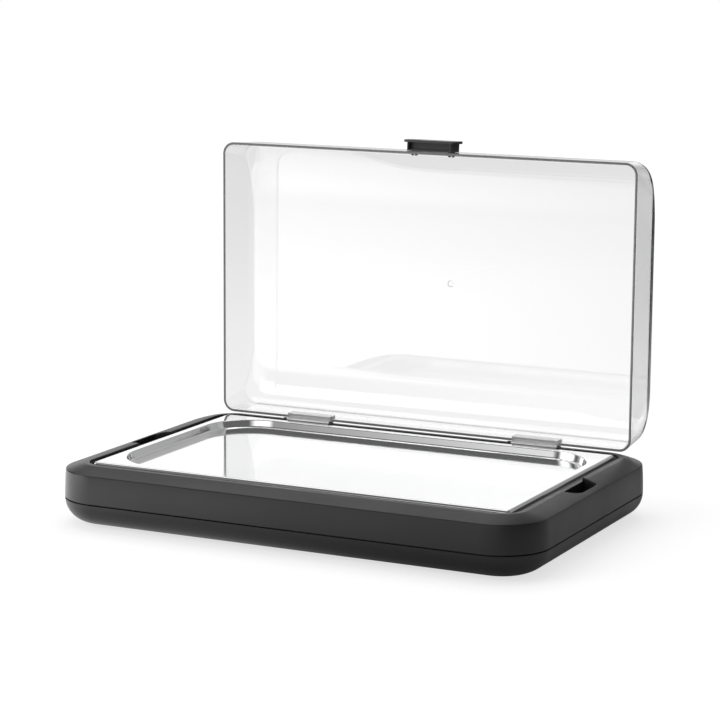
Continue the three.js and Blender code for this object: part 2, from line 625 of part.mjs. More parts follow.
// A hollow pull, shallow on the rim's side and cored from behind, with a wider grip plate and two
// split hooks.
function handle() {
  const halfX = HANDLE_LENGTH / 2;
  const halfZ = HANDLE_DEPTH / 2;
  const foot = -GAP;
  const front = foot - HANDLE_HEIGHT;
  let body = block([-halfX, front, -halfZ], [halfX, foot, halfZ]);
  const insideX = halfX - HANDLE_WALL;
  const floor = foot - HANDLE_WALL;
  const web = -halfZ + HANDLE_POCKET;
  const pocket = block([-insideX, front, -halfZ - 1], [insideX, floor, web]);
  const core = block([-insideX, front, web + HANDLE_WALL], [insideX, floor, halfZ + 1]);
  body = body.subtract(pocket).subtract(core);

  const grip = new THREE.Shape();
  const round = GRIP_DEPTH / 2;
  const bulge = 5;
  grip.moveTo(-GRIP_LENGTH / 2 + bulge, -round);
  grip.lineTo(GRIP_LENGTH / 2 - bulge, -round);
  grip.quadraticCurveTo(GRIP_LENGTH / 2, -round, GRIP_LENGTH / 2, 0);
  grip.quadraticCurveTo(GRIP_LENGTH / 2, round, GRIP_LENGTH / 2 - bulge, round);
  grip.lineTo(-GRIP_LENGTH / 2 + bulge, round);
  grip.quadraticCurveTo(-GRIP_LENGTH / 2, round, -GRIP_LENGTH / 2, 0);
  grip.quadraticCurveTo(-GRIP_LENGTH / 2, -round, -GRIP_LENGTH / 2 + bulge, -round);
  const standing = new THREE.Matrix4().makeRotationX(Math.PI / 2).setPosition(0, front, 0);
  body = body.add(extrudeZ(grip, 0, GRIP_THICKNESS).transform(standing.toArray()));

  const tip = COVER_WALL + HOOK_REACH;
  for (const side of [-1, 1]) {
    const x = side * (HOOK_SPACING / 2);
    for (const prong of [-1, 1]) {
      const inner = x + (prong * HOOK_SLIT) / 2;
      const outer = x + (prong * HOOK_WIDTH) / 2;
      const barb = outer + prong * HOOK_BARB;
      const shape = new THREE.Shape([
        new THREE.Vector2(inner, foot - HANDLE_WALL / 2),
        new THREE.Vector2(outer, foot - HANDLE_WALL / 2),
        new THREE.Vector2(outer, COVER_WALL + GAP),
        new THREE.Vector2(barb, COVER_WALL + GAP),
        new THREE.Vector2(outer - prong * HOOK_BARB, tip),
        new THREE.Vector2(inner, tip),
      ]);
      body = body.add(extrudeZ(shape, -HOOK_THICKNESS / 2, HOOK_THICKNESS / 2));
    }
  }
  return body;
}

// ---------------------------------------------------------------- what is inside and below

function hingePin(x) {
  const half = KNUCKLE_LENGTH / 2 + KNUCKLE_SIDE_GAP + EAR_LENGTH - BORE_END - GAP;
  return barX(PIN_RADIUS, x - half, x + half, HINGE_Y, HINGE_Z);
}

// A blow-moulded cold pack: soft edges, a parting line round it, cross grooves, a filler recess.
function coldPack(x) {
  const top = PACK_Z + PACK_THICKNESS;
  const middle = PACK_Z + PACK_THICKNESS / 2;
  const half = [
    [7, 0, -1.5],
    [2, 1.5, -0.5],
    [0, 7, 0],
    [0, PACK_THICKNESS / 2 - 1, 0],
    [-PARTING, PACK_THICKNESS / 2 - PARTING / 2, 1],
  ];
  const toRing = ([inset, z, grow]) =>
    ring(PACK_LENGTH / 2 - inset, PACK_WIDTH / 2 - inset, PACK_CORNER + grow - inset * 0.5, z);
  const lower = half.map(([inset, rise, grow]) => toRing([inset, PACK_Z + rise, grow]));
  const upper = half.map(([inset, rise, grow]) => toRing([inset, top - rise, grow])).reverse();
  let body = solid(loft([...lower, ...upper], false), place(x, 0, 0));

  const reach = PACK_LENGTH * 0.42;
  for (const share of [-0.425, 0, 0.425]) {
    body = body.subtract(barX(PACK_GROOVE, x - reach, x + reach, share * PACK_WIDTH, top + 0.5));
  }
  const [plugX, plugY] = plugPlace(x);
  body = body.subtract(barZ(PLUG_RADIUS + NECK_SHRINK, plugX, plugY, middle, top + 1));
  body = body.add(barZ(PLUG_RADIUS - NECK_SHRINK, plugX, plugY, middle - 1, top - NECK_DROP));
  return body;
}

const plugPlace = (x) => [x + Math.sign(x) * PACK_LENGTH * 0.3, -PACK_WIDTH * 0.32];

// A screwed cap on the pack's filler neck, with a slot for a coin.
function packPlug(x) {
  const [plugX, plugY] = plugPlace(x);
  const neckTop = PACK_Z + PACK_THICKNESS - NECK_DROP;
  const neck = PLUG_RADIUS - NECK_SHRINK + GAP;
  const skirt = neckTop - NECK_DROP;
  const capTop = neckTop + CAP_RISE;
  const cap = turned([
    [neck, skirt],
    [PLUG_RADIUS - 0.5, skirt],
    [PLUG_RADIUS, skirt + 1],
    [PLUG_RADIUS, capTop - 1.2],
    [PLUG_RADIUS - 1.2, capTop],
    [0, capTop],
    [0, neckTop + GAP],
    [neck, neckTop + GAP],
    [neck, skirt],
  ], plugX, plugY, 0);
  const slot = block(
    [plugX - COIN_SLOT.half, plugY - COIN_SLOT.width / 2, capTop - COIN_SLOT.depth],
    [plugX + COIN_SLOT.half, plugY + COIN_SLOT.width / 2, capTop + 1]);
  return cap.subtract(slot);
}

// A push-in rubber foot: a domed pad below, a stem and a barbed head inside the shell.
function foot([x, y]) {
  const seat = FLOOR_Z + FOOT_RECESS - GAP;
  const inner = FLOOR_Z + WALL + GAP;
  return turned([
    [0, 0],
    [FOOT_RADIUS - 1.5, 0],
    [FOOT_RADIUS, 1.2],
    [FOOT_RADIUS, seat],
    [STEM_RADIUS, seat],
    [STEM_RADIUS, inner],
    [STEM_RADIUS + STEM_BARB.out, inner],
    [STEM_RADIUS - STEM_BARB.out, inner + STEM_BARB.height],
    [0, inner + STEM_BARB.height],
  ], x, y, 0);
}

// A pan-head screw, driven from below through a post into the boss above it.
function caseScrew([x, y]) {
  const seat = BOSS_BOTTOM - WALL - GAP;
  const tip = LEDGE_Z - WALL - PILOT_TOP - SCREW_SHORT;
  const body = turned([
    [0, seat - SCREW_HEAD],
    [SCREW_HEAD_RADIUS - 0.8, seat - SCREW_HEAD],
    [SCREW_HEAD_RADIUS, seat - SCREW_HEAD + 0.9],
    [SCREW_HEAD_RADIUS, seat],
    [SCREW_RADIUS, seat],
    [SCREW_RADIUS, tip - SCREW_POINT],
    [0, tip],
  ], x, y, 0);
  const arm = SCREW_HEAD_RADIUS * 0.55;
  const low = seat - SCREW_HEAD - 1;
  const high = seat - SCREW_HEAD + RECESS_DEPTH;
  const recess = block([x - arm, y - RECESS_HALF, low], [x + arm, y + RECESS_HALF, high])
    .add(block([x - RECESS_HALF, y - arm, low], [x + RECESS_HALF, y + arm, high]));
  return body.subtract(recess);
}

// ---------------------------------------------------------------- the assembly

const blackPlastic = { color: 0x26262a, roughness: 0.5, metalness: 0 };
const steel = { color: 0xd4d6d8, roughness: 0.12, metalness: 1 };
const clearPlastic = { color: 0xf2f5f6, roughness: 0.05, metalness: 0, transparent: true, opacity: 0.3 };
const packBlue = { color: 0x3f7fb8, roughness: 0.45, metalness: 0 };
const rubber = { color: 0x1c1c1c, roughness: 0.85, metalness: 0 };

function piece(name, body, look) {
  const mesh = new THREE.Mesh(geometryOf(body), new THREE.MeshStandardMaterial(look));
  mesh.name = name;
  return mesh;
}

const base = new THREE.Group();
base.add(piece('upper_shell', upperShell(), blackPlastic));
base.add(piece('lower_shell', lowerShell(), blackPlastic));
for (const [side, sign] of [['left', -1], ['right', 1]]) {
  base.add(piece(`hinge_pin_${side}`, hingePin(sign * (HINGE_SPACING / 2)), steel));
  base.add(piece(`cold_pack_${side}`, coldPack(sign * PACK_X), packBlue));
  base.add(piece(`cold_pack_plug_${side}`, packPlug(sign * PACK_X), blackPlastic));
}
footPlaces().forEach((spot, i) => base.add(piece(`foot_${i + 1}`, foot(spot), rubber)));
screwPlaces().forEach((spot, i) => base.add(piece(`case_screw_${i + 1}`, caseScrew(spot), steel)));

const trayGroup = new THREE.Group();
trayGroup.add(piece('tray', tray(), steel));

const coverGroup = new THREE.Group();
coverGroup.position.set(0, HINGE_Y, HINGE_Z);
coverGroup.rotation.x = -Math.PI / 2; // open
const clearCover = piece('cover', cover(), clearPlastic);
const coverHandle = piece('cover_handle', handle(), blackPlastic);
handleFrame().decompose(coverHandle.position, coverHandle.quaternion, coverHandle.scale);
coverGroup.add(clearCover, coverHandle);

// The box of the object with its cover open runs from the base's front to the cover's panel.
const object = new THREE.Group();
object.name = 'chilled_serving_display';
const frontmost = -BASE_WIDTH / 2;
const rearmost = HINGE_Y + HINGE_DROP + COVER_HEIGHT;
object.position.y = -(frontmost + rearmost) / 2;
object.add(base, trayGroup, coverGroup);

export default object;
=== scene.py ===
# %% [markdown]
# # A chilled serving display
# A steel tray lies in a low hollow base of black plastic. Cold packs in the base cool it from
# below. A clear cover turns on two hinges at the back and stands open, with a small black handle
# on its far edge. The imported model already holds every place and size. This script gives each
# piece its finer surface and its finish, and sets up a plain studio around it.

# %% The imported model
import json
import math
from functools import partial

import bmesh
import bpy
import numpy as np
from mathutils import Matrix, Vector


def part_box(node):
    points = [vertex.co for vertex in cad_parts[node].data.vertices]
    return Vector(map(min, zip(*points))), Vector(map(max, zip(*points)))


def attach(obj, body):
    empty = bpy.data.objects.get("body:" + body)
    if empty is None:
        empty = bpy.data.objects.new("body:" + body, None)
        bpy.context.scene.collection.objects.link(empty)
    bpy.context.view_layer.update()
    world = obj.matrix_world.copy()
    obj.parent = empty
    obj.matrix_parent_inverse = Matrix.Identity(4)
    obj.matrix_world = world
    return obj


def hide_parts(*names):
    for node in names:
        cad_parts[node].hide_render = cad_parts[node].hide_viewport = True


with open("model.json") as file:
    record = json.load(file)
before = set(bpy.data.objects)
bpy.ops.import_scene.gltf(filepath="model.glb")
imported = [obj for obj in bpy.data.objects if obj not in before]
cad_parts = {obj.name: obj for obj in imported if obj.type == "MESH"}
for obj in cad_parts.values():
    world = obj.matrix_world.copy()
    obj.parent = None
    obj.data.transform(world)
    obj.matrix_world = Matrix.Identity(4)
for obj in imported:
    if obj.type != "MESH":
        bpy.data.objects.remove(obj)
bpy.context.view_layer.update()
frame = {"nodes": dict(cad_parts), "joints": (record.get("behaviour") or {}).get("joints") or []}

# %% [markdown]
# ## Sizes
# Moulds and press tools are drawn in millimetres, so the sizes here are too, about the middle of
# the tray with the floor at zero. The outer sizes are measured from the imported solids. What lies
# between them, such as a radius or a wall, is written down once, next to the piece that uses it.

# %% Measured sizes
MM = 0.001


def size_of(node):
    """Lowest corner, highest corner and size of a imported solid, in millimetres."""
    low, high = (np.array(corner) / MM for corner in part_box(node))
    return low, high, high - low


tray_low, tray_high, tray_size = size_of("tray")
base_low, _, base_size = size_of("upper_shell")
MIDDLE_Y = (tray_low[1] + tray_high[1]) / 2      # the tray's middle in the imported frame
TRAY_X, TRAY_Y = tray_size[0] / 2, tray_size[1] / 2
BASE_X, BASE_Y = base_size[0] / 2, base_size[1] / 2
FLANGE_Z = tray_high[2]
TRAY_PROUD = 1                                   # how far the tray stands above the landing strip
LANDING_Z = FLANGE_Z - TRAY_PROUD
FLOOR_Z = size_of("lower_shell")[0][2]
hinge = next(joint for joint in frame["joints"] if joint["name"] == "cover_hinge")
HINGE_Y = hinge["pos_m"][1] / MM - MIDDLE_Y
HINGE_Z = hinge["pos_m"][2] / MM
GAP = 0.3                                        # between pieces that touch
print(f"tray {2 * TRAY_X:.1f} x {2 * TRAY_Y:.1f}, base {2 * BASE_X:.1f} x {2 * BASE_Y:.1f},",
      f"landing strip at {LANDING_Z:.1f}, hinge at y {HINGE_Y:.2f}, z {HINGE_Z:.2f}")


def at(x, y, z):
    """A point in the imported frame, in metres, from millimetres about the tray's middle."""
    return Vector((x * MM, (y + MIDDLE_Y) * MM, z * MM))


def middles(nodes):
    """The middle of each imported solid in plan, about the tray's middle."""
    corners = [size_of(node)[:2] for node in nodes]
    return [((low[0] + high[0]) / 2, (low[1] + high[1]) / 2 - MIDDLE_Y) for low, high in corners]


# %% [markdown]
# ## Camera
# From a little above and 26 degrees round to the right it shows the front, the right end and the
# inside of the open cover. A long lens keeps the long sides nearly parallel.

# %% Camera
LENS, SENSOR = 125.32, 36                        # millimetres
CAMERA_ANGLES = (26.082, 10.096, 0.4036)         # degrees round, up and of roll
CAMERA_PLACE = (1279.7, -2605.96, 709.09)
FAR_CLIP = 50                                    # metres
scene = bpy.context.scene


def put(name, data):
    """A new object in the scene."""
    made = bpy.data.objects.new(name, data)
    scene.collection.objects.link(made)
    return made


camera = put("camera", bpy.data.cameras.new("camera"))
camera.data.lens = LENS
camera.data.sensor_width = SENSOR
camera.data.clip_end = FAR_CLIP
azimuth, elevation, roll = (math.radians(a) for a in CAMERA_ANGLES)
back = Vector((math.sin(azimuth) * math.cos(elevation), -math.cos(azimuth) * math.cos(elevation),
               math.sin(elevation)))
level = Vector((math.cos(azimuth), math.sin(azimuth), 0))
above = back.cross(level)
right = level * math.cos(roll) + above * math.sin(roll)
upward = above * math.cos(roll) - level * math.sin(roll)
camera.matrix_world = Matrix((right, upward, back)).transposed().to_4x4()
camera.matrix_world.translation = at(*CAMERA_PLACE)
scene.camera = camera
print("camera stands", round((camera.matrix_world.translation - at(0, 0, 70)).length, 2), "m from the tray")

# %% [markdown]
# ## Helpers for nodes
# Finishes, the room and the growing shapes are all node trees. One helper adds a node and fills
# its inputs, each with a plain value or with another node's output. The others are short names for
# the few combinations that come back again and again.

# %% Adding nodes


def give(socket, value):
    """Sets an input to a plain value, or joins another node's output to it."""
    if isinstance(value, bpy.types.NodeSocket):
        socket.id_data.links.new(value, socket)
    else:
        socket.default_value = value


def set_inputs(node, **inputs):
    """Fills a node's inputs by name; an underscore stands for a space."""
    for label, value in inputs.items():
        give(node.inputs[label.replace("_", " ")], value)
    return node


def add(tree, kind, *values, **named):
    """A new node. Unnamed values fill its first inputs; a name in small letters is a setting."""
    node = tree.nodes.new(kind)
    for label in [label for label in named if label.islower()]:
        setattr(node, label, named.pop(label))
    for socket, value in zip(node.inputs, values):
        give(socket, value)
    return set_inputs(node, **named)


def maths(operation, *values):
    """The result of a Math node, in the tree that its values belong to."""
    tree = next(value.id_data for value in values if isinstance(value, bpy.types.NodeSocket))
    return add(tree, "ShaderNodeMath", *values, operation=operation).outputs[0]


plus, minus, times = (partial(maths, word) for word in ("ADD", "SUBTRACT", "MULTIPLY"))


def ramp(value, start, end, low=0.0, high=1.0):
    """A soft step from low at start to high at end."""
    return add(value.id_data, "ShaderNodeMapRange", value, start, end, low, high,
               interpolation_type="SMOOTHSTEP").outputs["Result"]


def choose(factor, off, on, kind="FLOAT"):
    """One of two numbers or colours, by a factor."""
    return add(factor.id_data, "ShaderNodeMix", data_type=kind, Factor=factor, A=off, B=on).outputs["Result"]


def own_place(tree):
    """Where the shaded point lies, on its object's own axes."""
    return add(tree, "ShaderNodeTexCoord").outputs["Object"]


# %% [markdown]
# ## Studio
# A white table in a studio. The floor is plain and bright enough to bleed out, and the display
# is lit by one wide soft lamp above and one from the front left. Matt surfaces see an even room.
# Mirrors see what stands round such a table: white panels low in front, at the front left and
# behind, two higher ones at the left, and a dim room between them, which gives the steel and the
# black plastic their light and dark bands. In a mirror the floor's glow is painted light and shade:
# brighter towards one side, with painted shade right beside the base. Whatever shows straight
# through the clear cover stays nearly white.

# %% What each kind of ray finds
LEAST_THROUGH = 0.45     # least tone where a mirrored view also passes through the clear cover


def by_ray(matt, mirror, through, seen):
    """A tone by what looks at it: a matt surface, a mirror, clear plastic or the camera."""
    path = add(mirror.id_data, "ShaderNodeLightPath").outputs
    passed = path["Is Transmission Ray"]
    turned = maths("MINIMUM", path["Glossy Depth"], 1.0)
    either = maths("MAXIMUM", path["Is Glossy Ray"], passed)
    mirrored = times(either, turned)
    clear = minus(either, mirrored)
    mirror = maths("MAXIMUM", mirror, times(passed, LEAST_THROUGH))
    tone = choose(mirrored, matt, mirror)
    tone = choose(clear, tone, through)
    return choose(path["Is Camera Ray"], tone, seen)


def parts_of(vector):
    """The X, Y and Z of a vector."""
    return add(vector.id_data, "ShaderNodeSeparateXYZ", vector).outputs


def bearing(vector):
    """Degrees round from straight behind, positive to the right, of a direction or a place."""
    x, y, _ = parts_of(vector)
    return maths("DEGREES", maths("ARCTAN2", x, y))


def away_from(turn, middle):
    """Degrees between a bearing and a middle one, either way round."""
    wrapped = maths("MODULO", plus(turn, 540.0 - middle), 360.0)
    return maths("ABSOLUTE", minus(wrapped, 180.0))


# %% Room
ROOM_LIGHT = 0.4         # strength of the room on matt surfaces
ROOM_TONE = 0.13         # tone of the bare room in a mirror
ROOM_THROUGH = (-4, 6, 0.92, 0.86)       # seen through the cover: from and to in degrees up, tones
EDGE_ACROSS, EDGE_UP = 10, 8             # half widths of a panel's soft edges, in degrees
PANELS = [               # bearing, height and half sizes in degrees, and strength
    (-180, 12, 24, 16, 1.05),
    (-120, 11, 16, 13, 2.8),
    (-30, 10, 22, 12, 1.0),
    (-118, 34, 14, 12, 1.4),
    (-50, 58, 34, 20, 1.1),
    (30, 10, 30, 14, 0.2),
]
scene.view_settings.view_transform = "Standard"
scene.world = bpy.data.worlds.new("room")
scene.world.use_nodes = True
tree = scene.world.node_tree
tree.nodes.clear()
toward = add(tree, "ShaderNodeTexCoord").outputs["Generated"]
turn = bearing(toward)
height = maths("DEGREES", maths("ARCSINE", parts_of(toward)["Z"]))
mirror_room = ROOM_TONE
for middle, panel_height, half_width, half_height, strength in PANELS:
    across = ramp(away_from(turn, middle), half_width + EDGE_ACROSS, half_width - EDGE_ACROSS)
    off_level = maths("ABSOLUTE", minus(height, panel_height))
    upright = ramp(off_level, half_height + EDGE_UP, half_height - EDGE_UP)
    panel = times(times(across, upright), strength)
    mirror_room = plus(panel, mirror_room)
strength = by_ray(ROOM_LIGHT, mirror_room, ramp(height, *ROOM_THROUGH), 1.0)
room = add(tree, "ShaderNodeBackground", Color=(1, 1, 1, 1), Strength=strength)
add(tree, "ShaderNodeOutputWorld", Surface=room.outputs[0])
print("room:", len(PANELS), "panels")

# %% Lamps
LAMPS = [                # name, place, target, width, depth and watts
    ("lamp_above", (-0.4, 0.3, 2.4), (0, 0, 0), 2.4, 1.8, 20),
    ("lamp_front_left", (-1.4, -2.1, 1.5), (0, 0, 0.05), 1.4, 1.2, 20),
]
for name, place, target, width, depth, watts in LAMPS:
    lamp = put(name, bpy.data.lights.new(name, "AREA"))
    lamp.data.shape = "RECTANGLE"
    lamp.data.size, lamp.data.size_y = width, depth
    lamp.data.energy = watts
    lamp.rotation_euler = (Vector(target) - Vector(place)).to_track_quat("-Z", "Y").to_euler()
    lamp.location = place
    lamp.visible_glossy = False
print("lamps:", len(LAMPS))

# %% Floor
FLOOR_REACH = 12         # metres from the middle to an edge
FLOOR_PAINT = 0.45       # tone of the floor's paint
LIT_PART = 0.35          # how much of the floor's white comes from the lamps
WHITE_SPARE = 0.04       # what makes sure that the floor bleeds out
FLOOR_BRIGHT = -120.0    # bearing of the painted bright side of the floor's glow in a mirror
# soft steps, from where to where and between which values: the first two and last two over the
# distance in metres, the middle two over the degrees away from the painted bright side
FLOOR_LIT = (2.2, 0.8)                   # the lamps matter only near the display
FLOOR_THROUGH = (0.6, 4.6, 0.98, 0.86)   # seen through the cover
FAR_MIRRORED = (75, 0, 0, 2.4)
NEAR_MIRRORED = (115, 5, 0.14, 1.3)
CLOSE_SHADE = (0.3, 0.5, 0.4, 1.0)       # painted shade in the floor's glow right beside the base, as a mirror sees it
NEAR_TO_FAR = (0.35, 1.3)

floor_mesh = bpy.data.meshes.new("floor")
floor_corners = [(x * FLOOR_REACH, y * FLOOR_REACH, 0) for x, y in ((-1, -1), (1, -1), (1, 1), (-1, 1))]
floor_mesh.from_pydata(floor_corners, [], [(0, 1, 2, 3)])
floor = put("floor", floor_mesh)
white_floor = bpy.data.materials.new("white_floor")
white_floor.use_nodes = True
tree = white_floor.node_tree
tree.nodes.clear()
place = own_place(tree)
distance = add(tree, "ShaderNodeVectorMath", place, operation="LENGTH").outputs["Value"]
lit_share = ramp(distance, *FLOOR_LIT)
unlit = minus(1.0, times(lit_share, LIT_PART))
off_bright = away_from(bearing(place), FLOOR_BRIGHT)
# as a mirror sees it, the floor's glow is painted light and shade: brighter towards one side, with painted
# shade right beside the base
mirrored_near_painted_shade = times(ramp(off_bright, *NEAR_MIRRORED), ramp(distance, *CLOSE_SHADE))
mirrored_painted_light_and_shade = choose(ramp(distance, *NEAR_TO_FAR), mirrored_near_painted_shade, ramp(off_bright, *FAR_MIRRORED))
through = times(unlit, ramp(distance, *FLOOR_THROUGH))
tone = by_ray(0.0, mirrored_painted_light_and_shade, through, plus(unlit, WHITE_SPARE))
paint = add(tree, "ShaderNodeBsdfDiffuse", Color=times(lit_share, FLOOR_PAINT))
glow = add(tree, "ShaderNodeEmission", Strength=tone)
both = add(tree, "ShaderNodeAddShader", paint.outputs[0], glow.outputs[0])
add(tree, "ShaderNodeOutputMaterial", Surface=both.outputs[0])
floor_mesh.materials.append(white_floor)
print("floor:", 2 * FLOOR_REACH, "m across")

# %% [markdown]
# ## Shared surface effects
# Three effects are used by more than one finish, so each is a node group. Mould grain is the fine
# spark-eroded texture that black housings have. Handling marks are soft cloudy patches where
# fingers and cloths have been, which show as small changes of gloss. Edge wear lightens the outer
# edges of plastic a little.

# %% Node groups


def new_tree(kind, name, inputs, outputs):
    """An empty node group with its named sockets; an input is (name, kind, default)."""
    tree = bpy.data.node_groups.new(name, kind)
    for label, socket_kind, default in inputs:
        socket = tree.interface.new_socket(label, in_out="INPUT", socket_type="NodeSocket" + socket_kind)
        if default is not None:
            socket.default_value = default
    for label, socket_kind in outputs:
        tree.interface.new_socket(label, in_out="OUTPUT", socket_type="NodeSocket" + socket_kind)
    return tree, tree.nodes.new("NodeGroupInput").outputs, tree.nodes.new("NodeGroupOutput").inputs


def noise(vector, scale, detail, roughness=0.5):
    """A noise in three dimensions, between 0 and 1."""
    return add(vector.id_data, "ShaderNodeTexNoise", Vector=vector, Scale=scale, Detail=detail,
               Roughness=roughness).outputs["Fac"]


GRAIN, entry, exit_ = new_tree(
    "ShaderNodeTree", "mould_grain", [("Scale", "Float", 1500.0), ("Depth", "Float", 1.0)],
    [("Height", "Float")])
coordinate = own_place(GRAIN)
fine = noise(coordinate, entry["Scale"], 3.0)
coarse = noise(coordinate, times(entry["Scale"], 0.31), 1.0)
mixed = plus(fine, times(coarse, 0.5))
give(exit_["Height"], times(mixed, entry["Depth"]))

MARKS, entry, exit_ = new_tree(
    "ShaderNodeTree", "handling_marks",
    [("Scale", "Float", 9.0), ("Stretch", "Vector", (1, 1, 1)),
     ("Low", "Float", 0.3), ("High", "Float", 0.4)],
    [("Roughness", "Float"), ("Mask", "Float")])
stretched = add(MARKS, "ShaderNodeVectorMath", own_place(MARKS), entry["Stretch"], operation="MULTIPLY")
mask = ramp(noise(stretched.outputs[0], entry["Scale"], 4.0, 0.6), 0.35, 0.7)
spread = add(MARKS, "ShaderNodeMapRange", Value=mask, To_Min=entry["Low"], To_Max=entry["High"])
give(exit_["Roughness"], spread.outputs["Result"])
give(exit_["Mask"], mask)

WEAR, entry, exit_ = new_tree(
    "ShaderNodeTree", "edge_wear",
    [("Colour", "Color", (0.02, 0.02, 0.02, 1)), ("Worn colour", "Color", (0.06, 0.06, 0.06, 1)),
     ("Amount", "Float", 0.5)],
    [("Color", "Color")])
edge = ramp(add(WEAR, "ShaderNodeNewGeometry").outputs["Pointiness"], 0.52, 0.62)
worn = times(edge, noise(own_place(WEAR), 60.0, 3.0, 0.7))
worn = times(worn, entry["Amount"])
give(exit_["Color"], choose(worn, entry["Colour"], entry["Worn colour"], "RGBA"))
print("groups:", GRAIN.name, MARKS.name, WEAR.name)

# %% [markdown]
# ## Finishes
# The base and handle are black ABS from a grained mould, with a satin gloss that swings a little
# across a face. The feet are rubber, the cold packs blue polyethylene, the plugs white. All are
# the same recipe with other values: grain in the bump, marks in the roughness, wear in the colour.

# %% Moulded plastics
BUMP_DEPTH = 0.1 * MM


def new_material(name):
    """A material with its node tree and its Principled shader."""
    material = bpy.data.materials.new(name)
    material.use_nodes = True
    return material, material.node_tree, material.node_tree.nodes["Principled BSDF"]


def placed(tree, group, **values):
    """The outputs of a shared group placed in a material."""
    return add(tree, "ShaderNodeGroup", node_tree=group, **values).outputs


def bumped(height, strength):
    """A surface's direction, tilted by a bump."""
    return add(height.id_data, "ShaderNodeBump", Strength=strength, Distance=BUMP_DEPTH,
               Height=height).outputs["Normal"]


def moulded_plastic(name, colour, worn, gloss, grain_scale, bump, specular=0.5):
    """Moulded plastic; gloss is the lowest and highest roughness on a face."""
    material, tree, shader = new_material(name)
    wear = placed(tree, WEAR, Colour=(*colour, 1), Worn_colour=(*worn, 1), Amount=0.6)
    marks = placed(tree, MARKS, Scale=7.0, Low=gloss[0], High=gloss[1])
    grain = placed(tree, GRAIN, Scale=grain_scale, Depth=1.0)
    set_inputs(shader, Specular_IOR_Level=specular, Base_Color=wear["Color"],
               Roughness=marks["Roughness"], Normal=bumped(grain["Height"], bump))
    return material


BLACK = moulded_plastic(
    "black_abs", (0.013, 0.013, 0.0135), (0.03, 0.03, 0.03), (0.3, 0.38), 1400.0, 0.3)
HANDLE_BLACK = moulded_plastic(
    "black_handle_abs", (0.05, 0.05, 0.051), (0.07, 0.07, 0.07), (0.3, 0.4), 1800.0, 0.2)
RUBBER = moulded_plastic(
    "foot_rubber", (0.017, 0.017, 0.017), (0.04, 0.04, 0.04), (0.65, 0.8), 900.0, 0.6, 0.3)
PACK_BLUE = moulded_plastic(
    "pack_polyethylene", (0.05, 0.21, 0.5), (0.12, 0.32, 0.6), (0.4, 0.55), 700.0, 0.3)
PLUG_WHITE = moulded_plastic(
    "plug_polyethylene", (0.75, 0.76, 0.76), (0.82, 0.82, 0.82), (0.35, 0.5), 900.0, 0.2)
print("plastics:", BLACK.name, HANDLE_BLACK.name, RUBBER.name, PACK_BLUE.name, PLUG_WHITE.name)

# %% [markdown]
# The tray is polished stainless steel. A sheet that was rolled and then polished in one direction
# keeps faint long streaks along it, so the noise behind its roughness and its bump is stretched
# along the tray. The pins are ground across, so theirs runs round them, and the screws are duller.

# %% Steels


def steel(name, tone, low, high, stretch, streak_scale, bump):
    """Bare steel; stretch says how much closer the streaks lie along each axis."""
    material, tree, shader = new_material(name)
    marks = placed(tree, MARKS, Scale=streak_scale, Stretch=stretch, Low=low, High=high)
    clouds = placed(tree, MARKS, Scale=5.0, Low=0.0, High=1.0)
    darker = (*(value * 0.96 for value in tone), 1)
    set_inputs(shader, Metallic=1.0, Roughness=marks["Roughness"],
               Base_Color=choose(clouds["Mask"], (*tone, 1), darker, "RGBA"),
               Normal=bumped(marks["Mask"], bump))
    return material


TRAY_STEEL = steel("polished_steel", (0.91, 0.912, 0.915), 0.06, 0.1, (1, 22, 22), 12.0, 0.02)
PIN_STEEL = steel("ground_steel", (0.72, 0.72, 0.73), 0.16, 0.28, (60, 1, 1), 20.0, 0.1)
SCREW_STEEL = steel("zinc_plated_steel", (0.66, 0.67, 0.68), 0.28, 0.45, (1, 1, 1), 300.0, 0.2)
print("steels:", TRAY_STEEL.name, PIN_STEEL.name, SCREW_STEEL.name)

# %% [markdown]
# The cover is clear polycarbonate with a real wall, so its edges gather the light that runs along
# the wall and look darker, as they do on the real one. Clear shadows would cost many light paths,
# so rays on their way to a lamp pass straight through: a mix with a Transparent shader does that,
# on Is Shadow Ray. Fine smudges change the gloss a little. A ray that crosses the wall at a slant
# has a longer way through the plastic, which dims it.

# %% Clear plastic
CLEAR_IOR = 1.585
CLEAR, tree, shader = new_material("clear_polycarbonate")
slant = maths("POWER", add(tree, "ShaderNodeLayerWeight", Blend=0.5).outputs["Facing"], 1.5)
dimmed = choose(slant, (0.99, 0.99, 0.99, 1), (0.74, 0.745, 0.745, 1), "RGBA")
marks = placed(tree, MARKS, Scale=6.0, Low=0.0, High=0.03)
set_inputs(shader, Transmission_Weight=1.0, IOR=CLEAR_IOR, Base_Color=dimmed, Roughness=marks["Roughness"])
see_through = add(tree, "ShaderNodeBsdfTransparent", Color=(0.94, 0.945, 0.945, 1))
choice = add(tree, "ShaderNodeMixShader", add(tree, "ShaderNodeLightPath").outputs["Is Shadow Ray"],
             shader.outputs[0], see_through.outputs[0])
give(tree.nodes["Material Output"].inputs["Surface"], choice.outputs[0])


def matt_clear(name, tone, clear_part, low, high):
    """Clear plastic with a matt surface, which scatters light instead of passing a picture."""
    material, tree, shader = new_material(name)
    marks = placed(tree, MARKS, Scale=20.0, Low=low, High=high)
    set_inputs(shader, Base_Color=(tone, tone, tone, 1), Transmission_Weight=clear_part, IOR=CLEAR_IOR,
               Roughness=marks["Roughness"])
    return material


# the rim's narrow face keeps the mould's matt parting edge, and its dark grey is a painted shade for the dark
# line along the rim; the hinge pads are moulded matt
MATT_EDGE_PAINTED_SHADE = matt_clear("matt_clear_edge_painted_shade", 0.3, 0.35, 0.45, 0.55)
MATT_PAD = matt_clear("matt_clear_pad", 0.95, 0.6, 0.18, 0.28)
print("finishes:", len(bpy.data.materials))

